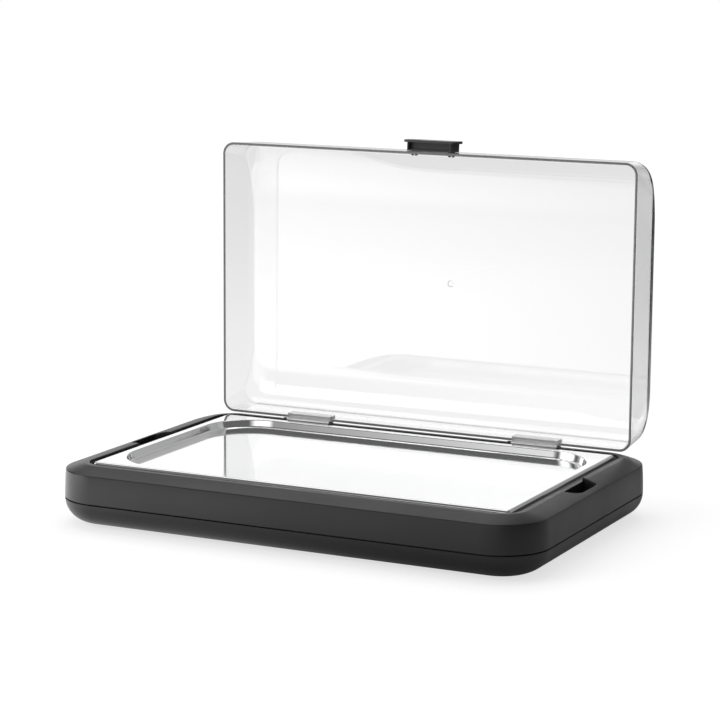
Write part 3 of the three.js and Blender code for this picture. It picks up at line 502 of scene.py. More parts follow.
# %% [markdown]
# ## Stacked rings
# The base, the tray and the cover follow one rule: each is a stack of rounded rectangles, every
# one with its own size, corner and height. A Geometry Nodes tree makes such a skin from a short
# table. The table is a mesh with one point for each ring, at the ring's middle, and an attribute
# that holds the ring's half length, half width and corner radius. The tree lays a grid with one
# row for each ring, moves each grid point to its place on its ring, and closes the seams.

# %% What every tree shares


def geometry_tree(name, inputs):
    """A geometry tree with a mesh of points and a material among its named inputs."""
    inputs = [("Geometry", "Geometry", None), *inputs, ("Material", "Material", None)]
    return new_tree("GeometryNodeTree", name, inputs, [("Geometry", "Geometry")])


def end_tree(tree, last):
    """Every tree ends in real geometry with its material set."""
    real = add(tree, "GeometryNodeRealizeInstances", last.outputs[0])
    painted = add(tree, "GeometryNodeSetMaterial", real.outputs[0], Material=entry["Material"])
    give(exit_["Geometry"], painted.outputs[0])


def carried(tree, name):
    """The vector that each point of the input carries under a name."""
    return add(tree, "GeometryNodeInputNamedAttribute", name, data_type="FLOAT_VECTOR").outputs["Attribute"]


# %% The stacked-rings tree
RINGS, entry, exit_ = geometry_tree("stacked_rings", [("Corner Steps", "Int", 16)])
rings = add(RINGS, "GeometryNodeAttributeDomainSize", Geometry=entry["Geometry"]).outputs["Point Count"]
per_corner = plus(entry["Corner Steps"], 1)
around = plus(times(per_corner, 4), 1)
grid = add(RINGS, "GeometryNodeMeshGrid", Vertices_X=around, Vertices_Y=rings)


def whole_times(value, size):
    """How many whole times a size goes into a whole number."""
    return maths("FLOOR", maths("DIVIDE", plus(value, 0.5), size))


index = add(RINGS, "GeometryNodeInputIndex").outputs[0]
ring_number = maths("MODULO", index, rings)
step = whole_times(index, rings)
quarter = whole_times(step, per_corner)
share = maths("DIVIDE", minus(step, times(quarter, per_corner)), entry["Corner Steps"])
angle = times(plus(minus(quarter, 1), share), math.pi / 2)
diagonal = times(minus(quarter, 0.5), math.pi / 2)


def ring_values(field):
    """The three numbers that the table holds for this grid point's ring."""
    return parts_of(add(RINGS, "GeometryNodeSampleIndex", data_type="FLOAT_VECTOR",
                        Geometry=entry["Geometry"], Value=field, Index=ring_number).outputs["Value"])


half_x, half_y, radius = ring_values(carried(RINGS, "ring_size"))
middle_x, middle_y, ring_z = ring_values(add(RINGS, "GeometryNodeInputPosition").outputs[0])


def round_corner(half, middle, trig):
    """One coordinate: the corner's centre plus the radius in the angle's direction."""
    side = maths("SIGN", maths(trig, diagonal))
    centre = times(minus(half, radius), side)
    arm = times(maths(trig, angle), radius)
    return plus(plus(centre, arm), middle)


spot = add(RINGS, "ShaderNodeCombineXYZ", X=round_corner(half_x, middle_x, "COSINE"),
           Y=round_corner(half_y, middle_y, "SINE"), Z=ring_z)
moved = add(RINGS, "GeometryNodeSetPosition", Geometry=grid.outputs["Mesh"], Position=spot.outputs[0])
closed = add(RINGS, "GeometryNodeMergeByDistance", Geometry=moved.outputs[0], Distance=2e-6)
end_tree(RINGS, closed)
print("tree:", RINGS.name, "with", len(RINGS.nodes), "nodes")

# %% Growing a mesh


def grow(tree, name, points, attributes, **inputs):
    """Runs a tree on a cloud of points and returns the result as a plain mesh object."""
    seed_mesh = bpy.data.meshes.new(name + "_points")
    seed_mesh.from_pydata([tuple(p) for p in points], [], [])
    for label, vectors in attributes.items():
        attribute = seed_mesh.attributes.new(label, "FLOAT_VECTOR", "POINT")
        attribute.data.foreach_set("vector", np.ravel(vectors).astype(np.float32))
    seed = put(name + "_points", seed_mesh)
    modifier = seed.modifiers.new("grow", "NODES")
    modifier.node_group = tree
    for item in tree.interface.items_tree:
        if item.item_type == "SOCKET" and item.in_out == "INPUT" and item.name in inputs:
            modifier[item.identifier] = inputs[item.name]
    evaluated = seed.evaluated_get(bpy.context.evaluated_depsgraph_get())
    mesh = bpy.data.meshes.new_from_object(evaluated)
    bpy.data.objects.remove(seed)
    mesh.name = name
    # the lone finish goes first, so that faces made by later cuts take it too
    mesh.materials.clear()
    mesh.materials.append(inputs["Material"])
    mesh.polygons.foreach_set("material_index", [0] * len(mesh.polygons))
    return put(name, mesh)


# %% A stack of rings


def volume_of(mesh):
    """Signed volume of a mesh in cubic metres, negative when its faces point inwards, and open edges."""
    shape = bmesh.new()
    shape.from_mesh(mesh)
    volume = shape.calc_volume(signed=True)
    open_edges = sum(1 for edge in shape.edges if len(edge.link_faces) != 2)
    shape.free()
    return volume, open_edges


def stack(name, rows, material, steps, ends=None):
    """A skin through rings; a row is half length, half width, corner, height, and its middle's y.

    Ends are the heights of the middle points that close the skin."""
    rows = [row if len(row) == 5 else (*row, 0) for row in rows]
    if ends:
        first, last = ((0, 0, 0, height, rows[-1][4]) for height in ends)
        rows = [first, *rows, last]
    points = [at(0, row[4], row[3]) for row in rows]
    sizes = [(row[0] * MM, row[1] * MM, row[2] * MM) for row in rows]
    made = grow(RINGS, name, points, {"ring_size": sizes}, **{"Corner Steps": steps, "Material": material})
    volume, open_edges = volume_of(made.data)
    if volume < 0:
        made.data.flip_normals()
    print(f"{name}: {len(made.data.polygons)} faces, {abs(volume) * 1e6:.1f} cm3, open edges {open_edges}")
    return made


def bend(start, corner, end, count):
    """Points of a smooth bend from start to end, drawn towards a corner; start is left out."""
    start, corner, end = (np.array(p, float) for p in (start, corner, end))
    shares = np.linspace(0, 1, count + 1)[1:]
    return [tuple((1 - t) ** 2 * start + 2 * t * (1 - t) * corner + t * t * end) for t in shares]


# %% [markdown]
# ## Helpers for cuts and shading
# Pockets, slots and screw holes are cut with booleans. Their tools are lofts: solids through a few
# outlines. Faces that meet at a shallow angle shade as one surface and sharper edges stay crisp.
# Weighted normals keep the large flat faces flat, so that reflections on them run straight.

# %% Tools


def loft(layers, name="tool", material=None):
    """A closed solid through layers of points; a layer is an outline or a single point."""
    shape = bmesh.new()
    layers = [[shape.verts.new(point) for point in layer] for layer in layers]
    for end in (layers[0], layers[-1][::-1]):
        if len(end) > 1:
            shape.faces.new(end)
    for low, high in zip(layers, layers[1:]):
        count = max(len(low), len(high))
        for i in range(count):
            j = (i + 1) % count
            corners = (low[j % len(low)], low[i % len(low)], high[i % len(high)], high[j % len(high)])
            shape.faces.new(list(dict.fromkeys(corners)))
    bmesh.ops.recalc_face_normals(shape, faces=shape.faces)
    mesh = bpy.data.meshes.new(name)
    shape.to_mesh(mesh)
    shape.free()
    if material:
        mesh.materials.append(material)
    return put(name, mesh)


def prism(outline, start, end, place, name="tool", material=None):
    """A flat outline drawn out from start to end; place turns (u, v, along) into a point."""
    return loft([[place(u, v, along) for u, v in outline] for along in (start, end)], name, material)


def circle(radius, count=40, u=0.0, v=0.0):
    """Points of a circle about (u, v)."""
    return [(u + radius * math.cos(2 * math.pi * i / count), v + radius * math.sin(2 * math.pi * i / count))
            for i in range(count)]


def along_x(u, v, x):
    return at(x, u, v)


def about_z(u, v, w):
    return Vector((u * MM, v * MM, w * MM))


def turned_part(name, outline, sides):
    """A closed body turned about the Z axis through the origin, from radii and heights."""
    return loft([[about_z(u, v, height) for u, v in circle(radius, sides if radius else 1)]
                 for radius, height in reversed(outline)], name)


# %% Cutting and shading


def applied(target):
    """Puts the result of an object's modifiers in its mesh and removes them."""
    evaluated = target.evaluated_get(bpy.context.evaluated_depsgraph_get())
    mesh = bpy.data.meshes.new_from_object(evaluated)
    target.modifiers.clear()
    old = target.data
    target.data = mesh
    bpy.data.meshes.remove(old)


def combine(target, tools, operation):
    """Joins or cuts with each tool in turn and removes the tools."""
    for tool in tools:
        modifier = target.modifiers.new("combine", "BOOLEAN")
        modifier.operation = operation
        modifier.solver = "MANIFOLD"
        modifier.material_mode = "TRANSFER"
        modifier.object = tool
    applied(target)
    for tool in tools:
        bpy.data.objects.remove(tool)


def finished(piece, body, nodes, sharp=32.0):
    """Shades a piece, says what it moves with, and hides the imported solids that it stands for."""
    mesh = piece.data
    mesh.polygons.foreach_set("use_smooth", [True] * len(mesh.polygons))
    mesh.set_sharp_from_angle(angle=math.radians(sharp))
    weighted = piece.modifiers.new("weighted", "WEIGHTED_NORMAL")
    weighted.keep_sharp = True
    weighted.weight = 100
    applied(piece)
    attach(piece, body)
    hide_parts(*nodes)
    print(f"{piece.name}: {len(piece.data.polygons)} faces, open edges {volume_of(piece.data)[1]}")


# %% [markdown]
# ## The upper shell
# The upper half of the base is one moulding: a nearly upright wall, an eased edge, a shoulder that
# swells a little, a flat strip where the closed cover lands, then a channel round the tray and the
# ledge that carries it. It is a loop of rings, out over the top and back along the inside.

# %% Upper shell: the line over the top
WALL = 3.0
SEAM_HALF, SEAM_IN, SEAM_UP = 0.6, 0.35, 0.4     # half the shadow line, and the ease of its edges
SEAM_Z = base_low[2] - SEAM_HALF
LIP_HEIGHT = 7.0
SHOULDER_RISE, UPPER_WALL = 7.0, 34.0
BREAK_Z = SEAM_Z + UPPER_WALL
WALL_DRAFT, SHOULDER, LANDING = 1.5, 23.5, 6.0
LANDING_INSET = WALL_DRAFT + SHOULDER
OPENING_INSET = LANDING_INSET + LANDING
LEDGE_WIDTH = 18.0
LEDGE_INSET = OPENING_INSET + LEDGE_WIDTH
OPENING_X, OPENING_Y = BASE_X - OPENING_INSET, BASE_Y - OPENING_INSET
RIM_DROP = 4.5                                   # how far the tray's edge is turned down
LEDGE_Z = FLANGE_Z - RIM_DROP - GAP
BASE_CORNER, OPENING_CORNER, LEDGE_CORNER = 60.0, 24.0, 45.0
EDGE_EASE, OPENING_EASE, LEDGE_EASE = 0.9, 0.9, 0.6
CROWN_BACK, CROWN_DROP = SHOULDER * 0.4, SHOULDER_RISE * 0.3     # what the shoulder swells towards


def shell_ring(inset, z, corner=None):
    """One ring of the base at a distance inwards from its outline."""
    if corner is None:
        corner = BASE_CORNER + (OPENING_CORNER - BASE_CORNER) * inset / OPENING_INSET
    return (BASE_X - inset, BASE_Y - inset, corner, z)


wall_foot = (0.0, SEAM_Z + SEAM_HALF + SEAM_UP)
edge_low = (WALL_DRAFT, BREAK_Z - EDGE_EASE)
edge_high = (WALL_DRAFT + EDGE_EASE, BREAK_Z + EDGE_EASE * SHOULDER_RISE / SHOULDER)
crown = (LANDING_INSET - CROWN_BACK, LANDING_Z - CROWN_DROP)
top_line = bend(wall_foot, (WALL_DRAFT * 0.1, BREAK_Z - UPPER_WALL * 0.35), edge_low, 12)
top_line += bend(edge_low, (WALL_DRAFT + 0.1, BREAK_Z - 0.1), edge_high, 5)
top_line += bend(edge_high, crown, (LANDING_INSET, LANDING_Z), 14)
top_insets, top_heights = (list(v) for v in zip(*top_line, (OPENING_INSET, LANDING_Z)))


def top_height(inset):
    """Height of the base's top surface at a distance inwards from its outline."""
    return float(np.interp(inset, top_insets, top_heights))


print(f"top line: {len(top_line)} points, {top_heights[0]:.1f} to {top_heights[-1]:.1f} high")

# %% Upper shell: the loop of rings
opening_edge = (OPENING_INSET - OPENING_EASE, LANDING_Z)
outer_line = [(SEAM_IN, SEAM_Z + SEAM_HALF), wall_foot, *top_line, opening_edge]
outer_line += bend(opening_edge, (OPENING_INSET, LANDING_Z), (OPENING_INSET, LANDING_Z - OPENING_EASE), 5)
upper_rows = [shell_ring(*p) for p in outer_line]
upper_rows += [shell_ring(*p) for p in (
    (OPENING_INSET, LEDGE_Z + LEDGE_EASE),
    (OPENING_INSET + LEDGE_EASE, LEDGE_Z),
    (LEDGE_INSET - LEDGE_EASE, LEDGE_Z, LEDGE_CORNER),
    (LEDGE_INSET, LEDGE_Z - LEDGE_EASE, LEDGE_CORNER),
    (LEDGE_INSET, LEDGE_Z - WALL, LEDGE_CORNER),
    (OPENING_INSET - WALL, LEDGE_Z - WALL),
    (OPENING_INSET - WALL, LANDING_Z - WALL),
    (LANDING_INSET, LANDING_Z - WALL),
    (WALL_DRAFT + SHOULDER / 2, LANDING_Z - SHOULDER_RISE / 2 - WALL),
    (WALL_DRAFT + WALL, BREAK_Z - WALL),
    (WALL, SEAM_Z + LIP_HEIGHT + 1),
    (WALL, SEAM_Z + SEAM_HALF))]
upper_rows.append(upper_rows[0])
SHELL_STEPS = 28
upper = stack("base_upper_shell", upper_rows, BLACK, SHELL_STEPS)

# %% [markdown]
# A finger notch at each end gives a hand a hold on the base. Each is a pocket with a slanted front,
# a squarer rear, a soft bottom and an eased rim, and the channel's floor runs on between it and the
# tray. The tool that cuts it widens where it meets the skin, which rounds the rim without a bevel.

# %% Upper shell: the finger notches
NOTCH_LENGTH, NOTCH_SHIFT, NOTCH_REACH, NOTCH_SHELF = 74.5, -4.75, 20.5, 1.0
NOTCH_DEPTH, NOTCH_WALL, NOTCH_CORNER = 21.0, 2.4, 5.0
SLANT_RUN, SLANT_ALONG, REAR_DRAW = 15.0, 22.0, 5.5


def notch_outline(inner_side, margin):
    """The right notch in plan from its inner side outwards, grown by a margin."""
    inner = inner_side - margin
    outer = OPENING_X + NOTCH_REACH + margin
    front = NOTCH_SHIFT - NOTCH_LENGTH / 2 - margin
    rear = NOTCH_SHIFT + NOTCH_LENGTH / 2 + margin
    drawn = rear - REAR_DRAW
    points = [(x, front) for x in np.linspace(inner, outer - SLANT_RUN, 4)]
    points += bend((outer - SLANT_RUN, front), (outer - SLANT_RUN * 0.2, front + SLANT_ALONG / 4),
                   (outer, front + SLANT_ALONG), 14)
    points += [(outer, drawn - NOTCH_CORNER)]
    points += bend((outer, drawn - NOTCH_CORNER), (outer, drawn), (outer - NOTCH_CORNER, drawn), 8)
    for t in np.linspace(0, 1, 8)[1:]:
        points += [(outer - NOTCH_CORNER + t * (inner - outer + NOTCH_CORNER), drawn + t * REAR_DRAW)]
    return points


def notch_tool(side, inner_side, levels):
    """A tool from outlines; a level is a margin and a height, or a drop below the skin."""
    layers = []
    for margin, height, under_skin in levels:
        layer = []
        for x, y in notch_outline(inner_side, margin):
            if height is not None:
                z = height
            else:
                z = (LEDGE_Z if x < OPENING_X else top_height(BASE_X - x)) - under_skin
            layer.append(at(side * x, y, z))
        layers.append(layer)
    return loft(layers, "notch", BLACK)


notch_floor = LANDING_Z - NOTCH_DEPTH
shelf_edge = OPENING_X + NOTCH_SHELF
tub = [(NOTCH_WALL, notch_floor - NOTCH_WALL, None), (NOTCH_WALL, None, 1.5)]
shelf = [(0, LEDGE_Z, None), (0, LANDING_Z + 3, None)]
pocket = [(margin, notch_floor + up, None) for margin, up in ((-2.5, 0), (-1.2, 0.3), (-0.3, 1.2), (0, 2.5))]
pocket += [(margin, None, drop) for margin, drop in
           ((0, 1.4), (0.12, 0.8), (0.45, 0.25), (1.0, -0.05), (2.0, -0.5))]
pocket += [(2.0, LANDING_Z + 4, None)]
for inner_side, levels, operation in (
        (shelf_edge, tub, "UNION"), (OPENING_X - 1, shelf, "DIFFERENCE"), (shelf_edge, pocket, "DIFFERENCE")):
    combine(upper, [notch_tool(side, inner_side, levels) for side in (-1, 1)], operation)
print("notches:", len(upper.data.polygons), "faces")

# %% [markdown]
# At the back the channel opens into two pockets for the hinge knuckles. An ear at each end of a
# pocket holds the pin. Ground under the pocket ties the ears to the ledge.

# %% Upper shell: the hinge seats
HINGE_SPACING, KNUCKLE_LENGTH, KNUCKLE_RADIUS = 310.0, 60.0, 2.4
PIN_RADIUS, PIN_CLEARANCE, SIDE_GAP, EAR_LENGTH, CLEARANCE = 1.0, 0.15, 0.6, 4.0, 0.6
HINGE_MIDDLES = (-HINGE_SPACING / 2, HINGE_SPACING / 2)
pocket_half = KNUCKLE_LENGTH / 2 + SIDE_GAP
seat_half = pocket_half + EAR_LENGTH
pocket_rear = HINGE_Y + KNUCKLE_RADIUS + CLEARANCE
pocket_floor = HINGE_Z - KNUCKLE_RADIUS - CLEARANCE
ground_rear = pocket_rear + WALL
rim = top_height(BASE_Y - pocket_rear)
ground = [(OPENING_Y - WALL, pocket_floor - WALL), (ground_rear, pocket_floor - WALL),
          (ground_rear, top_height(BASE_Y - ground_rear) - 1), (OPENING_Y + LANDING, LANDING_Z - 1),
          (OPENING_Y + 1.5, LANDING_Z - 1), (OPENING_Y + 1.5, LEDGE_Z - 1), (OPENING_Y - WALL, LEDGE_Z - 1)]
cut = [(OPENING_Y - WALL, pocket_floor), (pocket_rear, pocket_floor), (pocket_rear, rim - 0.6),
       (pocket_rear + 0.5, rim), (pocket_rear + 1.5, rim + 0.9), (OPENING_Y - WALL, rim + 0.9)]
ear = circle(KNUCKLE_RADIUS - 0.2, 32, HINGE_Y, HINGE_Z)
bore = circle(PIN_RADIUS + PIN_CLEARANCE, 24, HINGE_Y, HINGE_Z)
combine(upper, [prism(ground, x - seat_half, x + seat_half, along_x) for x in HINGE_MIDDLES], "UNION")
combine(upper, [prism(cut, x - pocket_half, x + pocket_half, along_x) for x in HINGE_MIDDLES], "DIFFERENCE")
combine(upper, [prism(ear, x + end * pocket_half, x + end * seat_half, along_x)
                for x in HINGE_MIDDLES for end in (-1, 1)], "UNION")
combine(upper, [prism(bore, x - seat_half + 1, x + seat_half - 1, along_x) for x in HINGE_MIDDLES],
        "DIFFERENCE")
finished(upper, "base", ["upper_shell"])

# %% [markdown]
# ## The lower shell
# The lower half is a shallow dish whose sides curl in to a flat bottom. A lip stands inside the
# upper shell, and the two edges leave a fine shadow line between them. Inside are the ribs that
# carry the cold packs and the posts for the screws. Below are the recesses for screws and feet.

# %% Lower shell
BOTTOM_ROUNDING, LIP_WALL = 33.0, 2.0
lower_edge = SEAM_Z - SEAM_HALF
lower_height = SEAM_Z - FLOOR_Z
outside = [(BOTTOM_ROUNDING * (1 - math.sin(a)), SEAM_Z - lower_height * math.cos(a))
           for a in np.linspace(0, math.pi / 2, 25)]
outside = [(inset, z) for inset, z in outside if z < lower_edge - 0.5]
outside += [(0.0, lower_edge - SEAM_UP), (SEAM_IN, lower_edge)]
inner_x, inner_z = BOTTOM_ROUNDING - WALL, lower_height - WALL
inside = [(BOTTOM_ROUNDING - inner_x * math.sin(a), SEAM_Z - inner_z * math.cos(a))
          for a in np.linspace(math.pi / 2, 0, 13)][2:]
lip_out = WALL + GAP
lip_in = lip_out + LIP_WALL
lip = [(lip_out, lower_edge), (lip_out, lower_edge + LIP_HEIGHT), (lip_in, lower_edge + LIP_HEIGHT),
       (lip_in, lower_edge - LIP_WALL)]
lower_rows = [shell_ring(*p) for p in outside + lip + inside]
lower = stack("base_lower_shell", lower_rows, BLACK, SHELL_STEPS, (FLOOR_Z, FLOOR_Z + WALL))

# %% [markdown]
# Ribs repeat, so a small tree puts a rib at each point, at the size that the point asks for. Screw
# posts and recesses repeat too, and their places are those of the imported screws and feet, so they
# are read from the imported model.

# %% Lower shell: ribs
RIBS, entry, exit_ = geometry_tree("ribs", [])
cube = add(RIBS, "GeometryNodeMeshCube", Size=(1, 1, 1))
placed_ribs = add(RIBS, "GeometryNodeInstanceOnPoints", Points=entry["Geometry"],
                  Instance=cube.outputs["Mesh"], Scale=carried(RIBS, "rib_size"))
end_tree(RIBS, placed_ribs)

RIB_HEIGHT, RIB_THICKNESS = 12.0, 2.0
_, pack_high, pack_size = size_of("cold_pack_right")
pack_end, pack_half = pack_high[0], pack_size[1] / 2
rib_floor = FLOOR_Z + WALL
ribs = [(0, share * pack_half, 2 * pack_end, RIB_THICKNESS, RIB_HEIGHT) for share in (-0.6, -0.2, 0.2, 0.6)]
ribs += [(share * pack_end, 0, RIB_THICKNESS, 2 * pack_half, RIB_HEIGHT - RIB_THICKNESS)
         for share in (-0.75, -0.25, 0.25, 0.75)]
ribs += [(0, 0, RIB_THICKNESS, pack_half, RIB_HEIGHT + pack_size[2] / 3)]
rib_tools = []
for number, (x, y, length, width, height) in enumerate(ribs):
    rib_tools.append(grow(RIBS, f"rib_{number}", [at(x, y, rib_floor - 1 + (height + 1) / 2)],
                          {"rib_size": [(length * MM, width * MM, (height + 1) * MM)]}, Material=BLACK))
combine(lower, rib_tools, "UNION")
print("ribs:", len(ribs))

# %% Lower shell: posts and holes
BOSS_BOTTOM, POST_RADIUS, SCREW_HEAD_RADIUS, SCREW_RADIUS = 40.0, 5.6, 3.3, 1.6
FOOT_RADIUS, FOOT_RECESS, STEM_RADIUS = 11.0, 1.2, 3.5
SCREWS = [f"case_screw_{n}" for n in range(1, 9)]
FEET = [f"foot_{n}" for n in range(1, 5)]
screw_spots, foot_spots = middles(SCREWS), middles(FEET)
posts = [prism(circle(POST_RADIUS, 32, x, y), FLOOR_Z + 1, BOSS_BOTTOM, at) for x, y in screw_spots]
combine(lower, posts, "UNION")
holes = []
for spots, radius, sides, start, end in (
        (screw_spots, SCREW_HEAD_RADIUS, 32, FLOOR_Z - 1, BOSS_BOTTOM - WALL),
        (screw_spots, SCREW_RADIUS, 24, FLOOR_Z, BOSS_BOTTOM + 1),
        (foot_spots, FOOT_RADIUS, 48, FLOOR_Z - 1, FLOOR_Z + FOOT_RECESS),
        (foot_spots, STEM_RADIUS, 24, FLOOR_Z, rib_floor + 1)):
    holes += [prism(circle(radius + GAP, sides, x, y), start, end, at) for x, y in spots]
combine(lower, holes, "DIFFERENCE")
finished(lower, "base", ["lower_shell"])

# %% [markdown]
# ## The tray
# One sheet of steel, pressed: the outer edge is turned down, the flange is flat, and a soft bend
# leads into the well, whose wall leans in slightly and curls into the flat floor. The sheet is the
# same stack of rings twice, once for its top and once, a sheet's thickness lower, for its underside.

# %% Tray
TRAY_DEPTH, TRAY_SHEET, TRAY_CORNER, EDGE_ROUND = 9.5, 0.8, 4.0, 3.8
FLANGE_WIDTH, FLANGE_BEND, WELL_CORNER, WELL_DRAFT, WELL_BOTTOM = 12.5, 1.8, 62.0, 1.5, 2.4


def tray_line(sheet):
    """The rings of the tray's top, or of its underside with the sheet's thickness."""
    bend_size = FLANGE_BEND + sheet
    foot = WELL_BOTTOM - sheet
    wall_top = FLANGE_WIDTH - sheet
    wall_foot = wall_top + WELL_DRAFT
    floor_z = -TRAY_DEPTH - sheet
    line = [(sheet, -RIM_DROP, TRAY_CORNER - sheet)]
    for a in np.linspace(0, math.pi / 2, 10):
        inset = EDGE_ROUND - (EDGE_ROUND - sheet) * math.cos(a)
        line += [(inset, -EDGE_ROUND + (EDGE_ROUND - sheet) * math.sin(a), TRAY_CORNER - inset)]
    bend_start = (wall_top - bend_size, -sheet, WELL_CORNER + bend_size)
    line += [(wall_top - bend_size - 1, -sheet, WELL_CORNER + bend_size + 1), bend_start]
    line += bend(bend_start, (wall_top, -sheet, WELL_CORNER),
                 (wall_top + 0.1, -sheet - bend_size, WELL_CORNER), 8)
    foot_start = (wall_foot, -TRAY_DEPTH + foot, WELL_CORNER - WELL_DRAFT)
    line += [foot_start]
    line += bend(foot_start, (wall_foot + 0.4, floor_z, WELL_CORNER - WELL_DRAFT - 0.4),
                 (wall_foot + foot, floor_z, WELL_CORNER - WELL_DRAFT - foot), 10)
    return [(TRAY_X - inset, TRAY_Y - inset, corner, FLANGE_Z + z) for inset, z, corner in line]


tray = stack("pressed_tray", tray_line(TRAY_SHEET)[::-1] + tray_line(0), TRAY_STEEL, 48,
             (FLANGE_Z - TRAY_DEPTH - TRAY_SHEET, FLANGE_Z - TRAY_DEPTH))
finished(tray, "tray", ["tray"], 40)

# %% [markdown]
# ## The cover
# The cover is a deep clear lid. Drawn closed, each wall leans in with its draft and then arches
# over into the flat panel: a short steep arch at the ends, a long low one at the front and back.
# The wall has real thickness, and its rim is a little thicker still. Drawn about its hinge axis and
# turned back by a right angle, it stands open.

# %% Cover: the shell
COVER_HEIGHT, COVER_WALL, RIM_WALL, RIM_DEPTH, RIM_EASE = 73.9, 2.5, 3.0, 3.5, 0.4
LAND_ENDS, LAND_SIDES, MATT_BELOW = 5.0, 2.5, 0.25     # rim outside the opening, height of its matt face
COVER_X, COVER_Y = OPENING_X + LAND_ENDS, OPENING_Y + LAND_SIDES
COVER_CORNER, CORNER_GROWTH = 15.0, 0.167
END_DRAFT, FRONT_DRAFT, REAR_DRAFT = 0.021, 0.055, 0.014
END_ARCH, FRONT_ARCH, REAR_ARCH = (2.0, 15.8), (77.8, 23.2), (53.9, 25.2)     # run and rise
HINGE_DROP = LANDING_Z + GAP - HINGE_Z


def lean(height, total, draft, arch):
    """How far a wall has moved in at a height above the rim."""
    run, rise = arch
    share = max(0.0, (height - (total - rise)) / rise)
    return draft * height + run * (1 - math.sqrt(max(0.0, 1 - share * share)))


def cover_ring(height, margin):
    """One ring of the closed cover at a height above its rim; margin is the wall's thickness."""
    total = COVER_HEIGHT - (COVER_WALL if margin else 0)
    front = -COVER_Y + margin + lean(height, total, FRONT_DRAFT, FRONT_ARCH)
    rear = COVER_Y - margin - lean(height, total, REAR_DRAFT, REAR_ARCH)
    half_x = COVER_X - margin - lean(height, total, END_DRAFT, END_ARCH)
    corner = COVER_CORNER + CORNER_GROWTH * height - margin
    return (half_x, (rear - front) / 2, corner, height, (front + rear) / 2)


def cover_heights(total):
    """Few rings on the straight wall, and closer together where the arches flatten out."""
    straight = total - max(FRONT_ARCH[1], REAR_ARCH[1])
    arch = [straight + (total - straight) * math.sin(s * math.pi / 2) for s in np.linspace(0, 1, 29)[1:]]
    return list(np.linspace(RIM_DEPTH, straight, 4)) + arch


cover_line = [(h, COVER_WALL) for h in reversed(cover_heights(COVER_HEIGHT - COVER_WALL))]
cover_line += [(RIM_DEPTH * 0.8, RIM_WALL), (RIM_EASE, RIM_WALL), (0.0, RIM_WALL - RIM_EASE),
               (0.0, RIM_EASE), (RIM_EASE, 0.0)]
cover_line += [(h, 0.0) for h in cover_heights(COVER_HEIGHT)]
cover = stack("clear_cover", [cover_ring(*p) for p in cover_line], CLEAR, 20,
              (COVER_HEIGHT - COVER_WALL, COVER_HEIGHT))
# the rim's narrow face takes the matt finish whose dark grey is a painted shade
cover.data.materials.append(MATT_EDGE_PAINTED_SHADE)
for face in cover.data.polygons:
    if face.center.z < MATT_BELOW * MM:
        face.material_index = 1

# from the closed drawing, with its rim at height 0, to the open place on the hinge axis
OPENED = (Matrix.Translation(at(0, HINGE_Y, HINGE_Z)) @ Matrix.Rotation(-math.pi / 2, 4, "X")
          @ Matrix.Translation((0, -HINGE_Y * MM, HINGE_DROP * MM))
          @ Matrix.Translation((0, -MIDDLE_Y * MM, 0)))
cover.data.transform(OPENED)

# %% [markdown]
# Plastic entered the cover's mould through a gate near the middle of the panel, and that leaves a
# shallow round dimple. Its tool is an outline of radii and heights, spun about an axis.

# %% Cover: the gate's dimple
GATE_X, GATE_FORWARD, GATE_RADIUS, GATE_DEPTH, GATE_STEEPNESS = 8.0, 2.5, 4.2, 0.7, 7
tool_radius = GATE_RADIUS * 1.06                 # past the dimple's edge, so that it runs out softly
gate_line = [(r, -GATE_DEPTH * (1 - (r / GATE_RADIUS) ** GATE_STEEPNESS))
             for r in np.linspace(0, tool_radius, 20)]
gate = turned_part("gate", [(0, 1.0), (tool_radius, 1.0)] + gate_line[::-1], 40)
gate.data.transform(OPENED @ Matrix.Translation(at(GATE_X, -GATE_FORWARD, COVER_HEIGHT)))
combine(cover, [gate], "DIFFERENCE")
print("with its dimple:", len(cover.data.polygons), "faces")

# %% [markdown]
# Each hinge is part of the cover: a clear barrel round the pin, and a thick pad behind it that
# runs a little way up the wall. The pad's heel comes to rest on the base's shoulder and stops the
# cover upright. Two narrow slots near the far edge take the handle's hooks.

# %% Cover: knuckles and pads
HEEL_REACH, PAD_SUNK, HEEL_TURN = 17.0, 0.4, 0.43
PAD_THICKNESS, PAD_REACH, PAD_PROUD, PAD_OVERLAP = 3.0, 15.0, 0.05, 0.5
HINGE_SETBACK = HINGE_Y - COVER_Y


def hung(y, z, x):
    """A point drawn closed about the hinge axis, turned open."""
    return at(x, HINGE_Y + z, HINGE_Z - y)


def wall_at(z):
    """Where the cover's rear wall stands at a height."""
    return -HINGE_SETBACK - REAR_DRAFT * (z - HINGE_DROP)


def heel_at(z):
    """Where the base's shoulder lies when the cover stands open."""
    return -HINGE_DROP + (z - (OPENING_Y + LANDING - HINGE_Y)) * (CROWN_DROP / CROWN_BACK)


top, heel_top = HINGE_DROP + HEEL_REACH, HINGE_DROP + HEEL_REACH / 2
heel_start = KNUCKLE_RADIUS + CLEARANCE + 1
tongue = [(-KNUCKLE_RADIUS * 0.95, 0), (0, -PAD_SUNK / 2),
          (-KNUCKLE_RADIUS * math.sin(HEEL_TURN), KNUCKLE_RADIUS * math.cos(HEEL_TURN)),
          (heel_at(heel_start), heel_start), (heel_at(heel_top), heel_top), (wall_at(top) + PAD_SUNK, top),
          (wall_at(top) - PAD_SUNK, top), (wall_at(HINGE_DROP) - PAD_SUNK, HINGE_DROP)]
pad_outer, pad_inner = -HINGE_SETBACK - PAD_OVERLAP, -HINGE_SETBACK - COVER_WALL - PAD_THICKNESS
pad_low, pad_high = HINGE_DROP - PAD_PROUD, HINGE_DROP + PAD_REACH
inner_pad = [(pad_outer, pad_low), (pad_inner, pad_low), (pad_inner, pad_high), (pad_outer, pad_high)]
knuckle_half = KNUCKLE_LENGTH / 2
